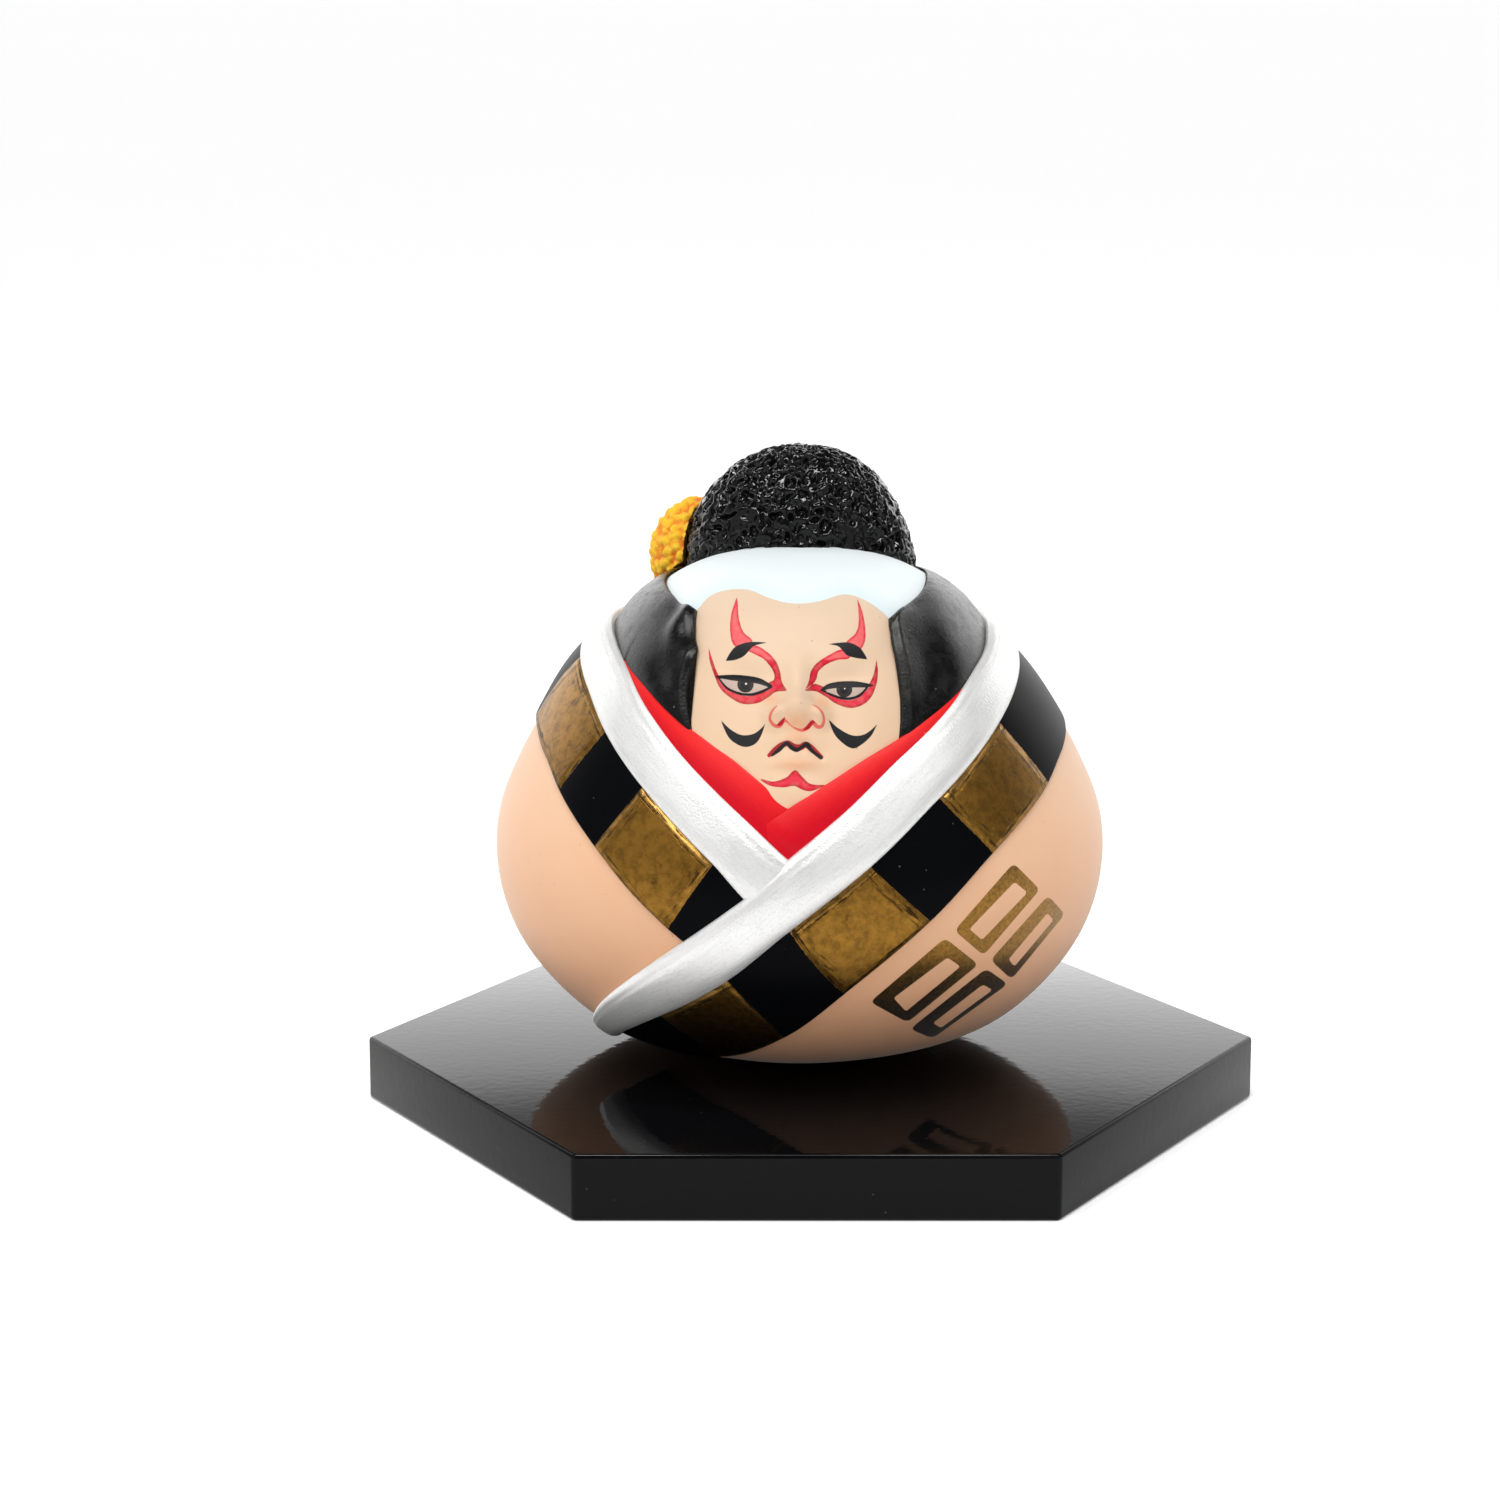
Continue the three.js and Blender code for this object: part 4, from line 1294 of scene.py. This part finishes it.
def build_bands(material, sizes):
    """The checked bands, which run in under the collars. Their paint counts only the breadth that shows."""
    bands = [
        ("checked_band_left", 1, HEM, under_left(UNDER_COLLAR["band"]), LEFT_SHOULDER_BAND_FOOT, LEFT_CHECKS),
        ("checked_band_right", -1, RIGHT_SHOULDER_BAND_FOOT[0][0], under_right(UNDER_COLLAR["band"]),
         RIGHT_SHOULDER_BAND_FOOT, RIGHT_CHECKS),
    ]
    for name, side, start, top, foot, checks in bands:
        piece, around, share = wrap_layer(
            name, side, start, NAPE, top, edge_of(foot), even(sizes.band / MM), material, 330)
        collar_foot = left_foot if side > 0 else right_foot
        low, high = smooth(foot, around), top(around)
        shown = (collar_foot(around) - low) / (high - low)
        cell = checks_along(checks, around, share / np.maximum(shown, 0.05))
        mark(piece, cell=cell, breadth=marked(piece, "breadth") * shown)


def build_linings(material, sizes):
    """The red linings beside the neck, which run in under the collars."""
    linings = [
        ("lining_left", 1, LEFT_SHOULDER_LINING_TOP, under_left, sizes.left_lining / MM),
        ("lining_right", -1, RIGHT_SHOULDER_LINING_TOP, under_right, sizes.right_lining / MM),
    ]
    for name, side, table, under, rise in linings:
        top, foot = edge_of(table), under(UNDER_COLLAR["lining"])
        ends = table[0][0], table[-1][0]
        height = sunk_at_crossing(rise, ends, top, foot) if side > 0 else thin_at_crossing(rise, ends)
        wrap_layer(name, side, *ends, top, foot, height, material, 160)


def hair_half(side, run, share, rise):
    """Longitudes, latitudes and distances of one half of the hair, from the face to the nape."""
    front, upper, lining, collar = (
        (LEFT_HAIR_FRONT, LEFT_HAIR_TOP, LEFT_SHOULDER_LINING_TOP, left_top) if side > 0 else
        (RIGHT_HAIR_FRONT, RIGHT_HAIR_TOP, RIGHT_SHOULDER_LINING_TOP, right_top)
    )

    def hem(around):
        lining_edge = np.where(around < lining[-1][0], smooth(lining, around), 0)
        return np.maximum(lining_edge, collar(around)) - HAIR_TUCK

    def sweep(latitude):
        start = smooth(front, latitude)
        return start + run * (NAPE - start)

    def row_at(around):
        return hem(around) + share * (smooth(upper, around) - hem(around))

    # Each point lies on its column's sweep and on its row at once, which a few rounds find
    around = sweep(np.full(np.broadcast(run, share).shape, 45.0))
    for _ in range(12):
        latitude = row_at(around)
        around = 0.5 * around + 0.5 * sweep(latitude)
    latitude = row_at(around)
    distance = body_distance(around, latitude)
    from_face = np.radians(around - smooth(front, latitude)) * distance * np.cos(np.radians(latitude))
    from_top = np.radians(smooth(upper, around) - latitude) * distance
    fullness = np.sqrt(np.sin(pi * (HAIR_HEM + (HAIR_CREST - HAIR_HEM) * share)))
    near, far, ridge, wide, reach = HAIR_RIDGES[side]
    ridge_at = near + (far - near) * ease(from_top, 0, RIDGE_TURN)
    forms = ridge * hump(from_face, ridge_at, wide) * np.exp(-((from_top / reach) ** 4))
    for away, down, dent, wide, tall in HAIR_DENTS[side]:
        forms = forms + dent * hump(from_face, away, wide) * hump(from_top, down, tall)
    from_hem = np.radians(latitude - hem(around)) * distance
    height = rise * fullness * (1 - HAIR_SIDE_LOSS * ease(around, *HAIR_SIDE_FROM))
    height = height + forms * ease(from_hem, 0.3, 3)
    height = height * from_least(HAIR_BROW[side], ease(from_face, -0.1, 1.4))
    height = height * from_least(HAIR_TOP_EDGE, round_over(from_top + 0.1, HAIR_TOP_ROUND))
    height = np.maximum(height, HAIR_LEAST) * round_over(from_face + 0.05, HAIR_FRONT_ROUND)
    height = height * round_over(from_top + 0.03, EDGE_ROUND)
    # Painted highlight on the facet beside the face, fading downwards
    wear = HAIR_EDGE_HIGHLIGHT[side] * hump(from_face, HIGHLIGHT_BESIDE_FACE["from_face"], HIGHLIGHT_BESIDE_FACE["breadth"])
    wear = wear * np.exp(-((from_top / HIGHLIGHT_BESIDE_FACE["fades_at"]) ** 4))
    return around * side, latitude, distance, height, wear


def build_hair(material, rise):
    """Side hair from one side of the face round the nape to the other."""
    # Points lie closer together beside the face and at the rounded top
    run = np.linspace(0, 1, 190) ** 1.6
    last = 0.9 + 0.1 * np.sin(np.linspace(0, pi / 2, 14))
    share = np.concatenate([np.linspace(0, 0.9, 44), last[1:]])
    halves = [hair_half(side, run[:, None], share[None, :], rise) for side in (1, -1)]
    longitude, latitude, distance, height, wear = (np.vstack([a, b[-2::-1]]) for a, b in zip(*halves))
    height, longitude, latitude, distance, wear = with_root(height, longitude, latitude, distance, wear)
    points = place(longitude, latitude, distance + height)
    piece = make_piece("side_hair", points, sweep_faces(len(points) - 1, points.shape[1]), material)
    # Keeps the painted highlight beside the face for the paint to read
    mark(piece, wear=wear)


def ball(columns, rows, lowest=-pi / 2):
    """Unit directions over a ball with two poles, and its faces, with no ring under the lowest."""
    a = np.linspace(0, 2 * pi, columns, endpoint=False)
    b = np.linspace(lowest, pi / 2, rows + 1)[1:-1]
    ring = np.stack(np.broadcast_arrays(
        np.cos(b)[:, None] * np.cos(a), np.cos(b)[:, None] * np.sin(a), np.sin(b)[:, None]), -1)
    points = np.vstack([ring.reshape(-1, 3), [(0, 0, -1), (0, 0, 1)]])
    r, c = np.meshgrid(np.arange(rows - 2), np.arange(columns), indexing="ij")
    after = (c + 1) % columns
    upper = r + 1
    quads = np.stack([r * columns + c, r * columns + after, upper * columns + after, upper * columns + c], -1)
    faces = quads.reshape(-1, 4).tolist()
    last, south, north = (rows - 2) * columns, len(points) - 2, len(points) - 1
    for k in range(columns):
        following = (k + 1) % columns
        faces.append([south, following, k])
        faces.append([north, last + k, last + following])
    return points, faces


def egg_size(egg):
    """An egg's middle and half sizes in the figure's own places, in millimetres."""
    return np.array(egg["middle"]) * BODY_HEIGHT, np.array(egg["half"]) * BODY_HEIGHT


def egg_points(egg, directions, height):
    """Points of an egg on the head, each moved out by its height in millimetres."""
    middle, half = egg_size(egg)
    normal = directions / half
    normal /= np.linalg.norm(normal, axis=1)[:, None]
    return stand(*(directions * half + normal * height[:, None] + middle).T)


def lumps(spots, spacing, warp, turns):
    """How far each spot is from the nearest and the next of the scattered lumps, in spacings."""
    noise.seed_set(CRINKLE_SEED)
    near = []
    for spot in spots:
        p = Vector(spot) / spacing
        p = p + warp * noise.noise_vector(p * turns)
        near.append(noise.voronoi(p, distance_metric="DISTANCE", exponent=2)[0][:2])
    return np.array(near).T


def build_tuft(material, depth):
    """The rough tuft: an egg, narrower on its left, covered with glossy crinkles round scattered pits."""
    directions, faces = ball(480, 190, radians(TUFT_LOWEST_DEGREES))
    spots = directions * egg_size(TUFT)[1]
    nearest, following = lumps(spots, PIT_SPACING, 0.6, 1.3)
    broad, fine = (np.array([noise.noise(Vector(spot) * scale) for spot in spots]) for scale in (0.42, 1.3))
    pit = ease(following - nearest, 0.1, 0.6)
    crinkle = np.clip(1.0 - 0.8 * pit + 0.1 * broad + 0.22 * fine, 0, 1.1)
    leaning = (directions[:, 0] > 0) & (directions[:, 2] > 0)
    directions[:, 0] *= np.where(leaning, 1 - TUFT_LEFT_LOSS * np.sin(pi * directions[:, 2]), 1)
    points = egg_points(TUFT, directions, depth * (crinkle - 1.0))
    piece = make_piece("tuft", points, faces, material, sharp=80)
    mark(piece, crinkle=crinkle)


def build_knot(material, depth):
    """The knot: a ball of crumpled crepe that leans on the tuft and the hair."""
    directions, faces = ball(240, 150)
    nearest = lumps(directions * egg_size(KNOT)[1], CREPE_SPACING, 0.3, 1.1)[0]
    crinkle = 1 - np.minimum(nearest * 1.25, 1.0) ** 2
    points = lean(egg_points(KNOT, directions, depth * (crinkle - 1.0)))
    piece = make_piece("crepe_knot", points, faces, material, "hair_ornament", sharp=80)
    mark(piece, crinkle=crinkle)


def lean(points, rounds=60, step=0.03):
    """Draws points that lie in the tuft or the head back towards the knot's middle, step by step."""
    pull = stand(*egg_size(KNOT)[0]) + np.array(KNOT_PULL)
    tuft_middle, tuft_half = egg_size(TUFT)
    tuft_middle = stand(*tuft_middle)
    heart = stand(0, 0, BODY_HEIGHT * HEART)
    for _ in range(rounds):
        in_tuft = np.linalg.norm((points - tuft_middle) / (tuft_half + KNOT_OFF_TUFT), axis=1) < 1
        offset = points - heart
        distance = np.linalg.norm(offset, axis=1)
        latitude = np.degrees(np.arcsin(offset[:, 2] / distance))
        in_head = distance < BODY_HEIGHT * smooth(OUTLINE, latitude) + KNOT_OFF_HEAD
        buried = in_tuft | in_head
        if not buried.any():
            break
        points = np.where(buried[:, None], points + step * (pull - points), points)
    return points


def build_plinth(material, edge):
    """The hexagonal board with softly rounded edges."""
    low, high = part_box("plinth")
    work = bmesh.new()
    side = (high.x - low.x) / 2
    rings = []
    for z in (low.z, high.z):
        rings.append([work.verts.new((side * cos(k * pi / 3), side * sin(k * pi / 3), z)) for k in range(6)])
    work.faces.new(rings[0][::-1])
    work.faces.new(rings[1])
    for k in range(6):
        following = (k + 1) % 6
        work.faces.new([rings[0][k], rings[0][following], rings[1][following], rings[1][k]])
    bmesh.ops.bevel(work, geom=work.edges[:], offset=edge, segments=5, profile=0.5, affect="EDGES")
    points = np.array([v.co[:] for v in work.verts]) / MM
    faces = [[v.index for v in f.verts] for f in work.faces]
    work.free()
    make_piece("lacquered_plinth", points, faces, material, "plinth", sharp=30)


def colour_property(name, value, description):
    """A colour that the user can change."""
    return FloatVectorProperty(
        name=name, description=description, default=(*value, 1.0), size=4, min=0, max=1, subtype="COLOR")


class DollColours(bpy.types.PropertyGroup):
    """Colours of the doll's paints and of its stage."""

    robe: colour_property("Robe", (0.83, 0.53, 0.34), "Matt peach of the robe's upper part")
    robe_low: colour_property("Robe, low", (0.80, 0.425, 0.235), "Salmon of the robe's lower part")
    face: colour_property("Face", (0.775, 0.545, 0.363), "Flesh paint of the face")
    face_pale: colour_property("Face, pale", (0.79, 0.6, 0.435), "Flesh paint of the forehead")
    # Painted shade on the nose and under the mouth
    flush: colour_property("Painted shade", (0.78, 0.36, 0.17), "Brown shade on the nose and under the mouth")
    speck: colour_property("Speck", (0.33, 0.2, 0.14), "Specks and pits in the paint")
    scalp: colour_property("Scalp", (0.87, 0.94, 0.95), "Blue-white of the shaved scalp")
    scalp_edge: colour_property("Scalp edge", (0.7, 0.85, 0.91), "Scalp beside the hairline")
    rouge: colour_property("Rouge", (0.84, 0.115, 0.125), "Thin rouge")
    rouge_dark: colour_property("Rouge, dark", (0.7, 0.008, 0.038), "Rouge at the rim of a stroke")
    rouge_deep: colour_property("Rouge, deep", (0.45, 0.002, 0.014), "Rouge at the inner corners of the eyes")
    nose_line: colour_property("Nose line", (0.72, 0.1, 0.08), "Line round the nose")
    lips: colour_property("Lips", (0.42, 0.02, 0.03), "Red of the lips")
    eye_white: colour_property("Eye white", (0.56, 0.43, 0.36), "Greyish pink of the eyes")
    iris: colour_property("Iris", (0.026, 0.023, 0.021), "Dark grey of the iris")
    ink: colour_property("Ink", (0.004, 0.004, 0.005), "Black of brows, lids and marks")
    ink_worn: colour_property("Ink, worn", (0.014, 0.014, 0.016), "Black where it is rubbed")
    glint: colour_property("Glint", (0.8, 0.8, 0.8), "Light dot in the eye")
    gold: colour_property("Gold", (0.32, 0.16, 0.027), "Bronze-gold paint")
    gold_dark: colour_property("Gold, dark", (0.13, 0.065, 0.012), "Gold where it is dull")
    # Painted highlight on the gold squares' folds and rims
    gold_highlight: colour_property("Gold, highlight", (0.62, 0.38, 0.13), "Gold under a painted highlight")
    check_black: colour_property("Check black", (0.002, 0.0022, 0.003), "Black of the checks")
    collar: colour_property("Collar", (0.9, 0.9, 0.89), "Pearly white of the collars")
    # Grey of the brush marks, and of the painted shade on the collars
    collar_grey_and_shade: colour_property("Collar, grey", (0.62, 0.61, 0.58), "Silver-grey of the brush marks")
    red: colour_property("Lining", (0.58, 0.0006, 0.012), "Red of the lining")
    # Thin paint along the streaks, and the painted highlight towards the lining's upper edge
    red_thin_and_lit: colour_property("Lining, thin", (0.88, 0.014, 0.012), "Lining where the paint is thin")
    hair: colour_property("Side hair", (0.002, 0.002, 0.0021), "Charcoal of the side hair")
    hair_worn: colour_property("Side hair, rubbed", (0.008, 0.008, 0.0078), "Side hair where it is rubbed")
    # Painted highlight on the hair's facet beside the face
    hair_edge_highlight: colour_property("Hair, edge", (0.045, 0.044, 0.039), "Hair's edge beside the face")
    dust: colour_property("Dust", (0.2, 0.2, 0.2), "Dust specks on dark paint")
    tuft: colour_property("Tuft", (0.004, 0.004, 0.004), "Black of the tuft")
    crepe: colour_property("Crepe", (1.0, 0.56, 0.004), "Golden orange of the crepe")
    # Painted shade between the crinkles
    crepe_crevice_shade: colour_property("Crepe, deep", (0.9, 0.2, 0.001), "Orange between the crinkles")
    crepe_light: colour_property("Crepe, light", (1.0, 0.8, 0.08), "Yellow of the raised fibres")
    lacquer: colour_property("Lacquer", (0.003, 0.003, 0.0035), "Black of the plinth")
    floor: colour_property("Floor", (0.97, 0.97, 0.97), "Pale floor")
    floor_shade: colour_property("Floor, shade", (0.95, 0.95, 0.95), "Floor where it is uneven")


def length_property(name, millimetres, description):
    """A small size that the user can change."""
    return FloatProperty(name=name, description=description, default=millimetres * MM, min=0, unit="LENGTH")


class DollSizes(bpy.types.PropertyGroup):
    """Sizes of the doll's layers and finer forms."""

    left_collar: length_property(
        "Left collar", LEFT_COLLAR_RISE, "How far the collar from the left shoulder stands out")
    right_collar: length_property(
        "Right collar", RIGHT_COLLAR_RISE, "How far the collar from the right shoulder stands out")
    band: length_property("Checked bands", BAND_RISE, "How far the checked bands stand out")
    left_lining: length_property("Left lining", LEFT_LINING_RISE, "How far the left red lining stands out")
    right_lining: length_property(
        "Right lining", RIGHT_LINING_RISE, "How far the right red lining stands out")
    hair: length_property("Side hair", HAIR_RISE, "How far the side hair stands out")
    crinkle: length_property("Tuft crinkles", CRINKLE_DEPTH, "Depth of the pits in the tuft")
    crepe: length_property("Crepe crinkles", CREPE_DEPTH, "Depth of the furrows in the crepe knot")
    plinth_edge: length_property("Plinth edge", PLINTH_EDGE, "How far the plinth's edges are rounded")


def stage_property(name, value, description, **more):
    """A size or strength of the stage that the user can change."""
    return FloatProperty(name=name, description=description, default=value, min=0, **more)


class DollStage(bpy.types.PropertyGroup):
    """Sizes and strengths of the stage."""

    floor_size: stage_property("Floor size", 40.0, "Side of the floor", unit="LENGTH")
    sky: stage_property("Sky", 1.1, "Strength of the light from behind")
    front_sky: stage_property("Front sky", 0.05, "Share of the sky's light in front of it", max=1)
    top_sky: stage_property("Top sky", 0.15, "Share of the sky's light straight above", max=1)
    backdrop: stage_property("Backdrop", 1.2, "Added strength of the low bright strip behind")
    sun: stage_property("Sun", 1.85, "Strength of the soft overhead light")
    left_box: stage_property("Left softbox", 0.95, "Power of the softbox on the picture's left")
    right_box: stage_property("Right softbox", 0.85, "Power of the softbox on the picture's right")
    rear_box: stage_property("Rear softboxes", 0.36, "Power of each softbox behind the doll")
    spark: stage_property("Spark", 0.42, "Power of each small light in front")
    glint: stage_property("Glint", 1.9, "Power of each light that shows only in gloss")


class DOLL_OT_figure(bpy.types.Operator):
    """Build the painted body with its face and scalp"""

    bl_idname = "doll.figure"
    bl_label = "Painted figure"

    def execute(self, context):
        build_skin(skin_material(context.scene.doll_colours))
        return {"FINISHED"}


class DOLL_OT_robe(bpy.types.Operator):
    """Build the collars, checked bands and linings of the robe"""

    bl_idname = "doll.robe"
    bl_label = "Robe"

    def execute(self, context):
        colours, sizes = context.scene.doll_colours, context.scene.doll_sizes
        build_collars(collar_material(colours), sizes)
        build_bands(checks_material(colours), sizes)
        build_linings(lining_material(colours), sizes)
        return {"FINISHED"}


class DOLL_OT_hair(bpy.types.Operator):
    """Build the side hair and the crinkled tuft"""

    bl_idname = "doll.hair"
    bl_label = "Hair"

    def execute(self, context):
        colours, sizes = context.scene.doll_colours, context.scene.doll_sizes
        build_hair(hair_material(colours), sizes.hair / MM)
        build_tuft(tuft_material(colours), sizes.crinkle / MM)
        return {"FINISHED"}


class DOLL_OT_knot(bpy.types.Operator):
    """Build the crepe knot behind the tuft"""

    bl_idname = "doll.knot"
    bl_label = "Crepe knot"

    def execute(self, context):
        scene = context.scene
        build_knot(crepe_material(scene.doll_colours), scene.doll_sizes.crepe / MM)
        return {"FINISHED"}


class DOLL_OT_plinth(bpy.types.Operator):
    """Build the lacquered plinth"""

    bl_idname = "doll.plinth"
    bl_label = "Plinth"

    def execute(self, context):
        scene = context.scene
        build_plinth(lacquer_material(scene.doll_colours), scene.doll_sizes.plinth_edge)
        return {"FINISHED"}


class DOLL_OT_stage(bpy.types.Operator):
    """Lay the floor and set the lights and the camera"""

    bl_idname = "doll.stage"
    bl_label = "Stage"

    def execute(self, context):
        scene = context.scene
        build_stage(scene, scene.doll_stage, scene.doll_colours)
        return {"FINISHED"}


def softbox(name, power, size, place_at):
    """An area light turned to the doll's middle."""
    light = bpy.data.lights.new(name, "AREA")
    light.shape = "RECTANGLE"
    light.size, light.size_y = size
    light.energy = power
    made = add_object(name, light)
    made.location = place_at
    aim = MIDDLE - Vector(place_at)
    made.rotation_euler = aim.to_track_quat("-Z", "Y").to_euler()
    return made


def build_stage(scene, stage, colours):
    """A pale floor, a sky bright from behind, the lights, and the camera at the picture's angle."""
    half = stage.floor_size / 2
    mesh = bpy.data.meshes.new("floor")
    corners = [(-half, -half, 0), (half, -half, 0), (half, half, 0), (-half, half, 0)]
    mesh.from_pydata(corners, [], [(0, 1, 2, 3)])
    mesh.materials.append(stage_material(colours))
    add_object("floor", mesh)

    world = bpy.data.worlds.new("studio")
    scene.world = world
    world.use_nodes = True
    background = world.node_tree.nodes["Background"]
    background.inputs["Color"].default_value = (1.0, 1.0, 1.0, 1.0)
    n = Nodes(world.node_tree)
    way = n.add("ShaderNodeSeparateXYZ", {0: n.add("ShaderNodeTexCoord").outputs["Generated"]}).outputs
    share = n.spread(way["Y"], 0.2, 0.85, stage.front_sky, 1.0)
    share = n.times(share, n.spread(way["Z"], 0.35, 0.65, 1.0, stage.top_sky))
    band = n.times(n.spread(way["Z"], 0.46, 0.32), n.spread(way["Y"], 0.2, 0.6))
    strength = n.times_plus(band, stage.backdrop, n.times(share, stage.sky))
    join(n, background.inputs, Strength=strength)

    sun = bpy.data.lights.new("overhead", "SUN")
    sun.energy = stage.sun
    sun.angle = radians(SUN_BREADTH)
    overhead = add_object("overhead", sun)
    overhead.rotation_euler = (radians(SUN_LEAN[0]), radians(SUN_LEAN[1]), 0)
    overhead.visible_glossy = False
    for name, setting, share, size, spot in SOFTBOXES:
        light = softbox(name, share * getattr(stage, setting), size, spot)
        light.visible_diffuse = setting != "glint"

    camera = bpy.data.cameras.new("camera")
    camera.sensor_width = SENSOR
    camera.lens = PIXELS_TO_LENS * SENSOR / PICTURE
    camera.clip_end = 100
    made = add_object("camera", camera)
    made.location = EYE * MM
    made.rotation_euler = (pi / 2 - LOOK_DOWN, 0, 0)
    scene.camera = made
    scene.view_settings.view_transform = "Standard"


class DOLL_PT_panel(bpy.types.Panel):
    """Lists the doll's operators"""

    bl_idname = "DOLL_PT_panel"
    bl_label = "Hakata Doll"
    bl_space_type = "VIEW_3D"
    bl_region_type = "UI"
    bl_category = "Doll"

    def draw(self, context):
        for operator in OPERATORS:
            self.layout.operator(operator.bl_idname)
        for group in SETTINGS:
            settings = getattr(context.scene, group)
            for name in settings.__annotations__:
                self.layout.prop(settings, name)


OPERATORS = (
    DOLL_OT_figure, DOLL_OT_robe, DOLL_OT_hair, DOLL_OT_knot, DOLL_OT_plinth, DOLL_OT_stage,
)
SETTINGS = {"doll_sizes": DollSizes, "doll_stage": DollStage, "doll_colours": DollColours}
CLASSES = (*SETTINGS.values(), *OPERATORS, DOLL_PT_panel)


def register():
    for cls in CLASSES:
        bpy.utils.register_class(cls)
    for name, settings in SETTINGS.items():
        setattr(bpy.types.Scene, name, PointerProperty(type=settings))


def unregister():
    for name in SETTINGS:
        delattr(bpy.types.Scene, name)
    for cls in reversed(CLASSES):
        bpy.utils.unregister_class(cls)


def main():
    register()
    bpy.ops.doll.stage()
    bpy.ops.doll.figure()
    bpy.ops.doll.robe()
    bpy.ops.doll.hair()
    bpy.ops.doll.knot()
    bpy.ops.doll.plinth()


if __name__ == "__main__":
    main()
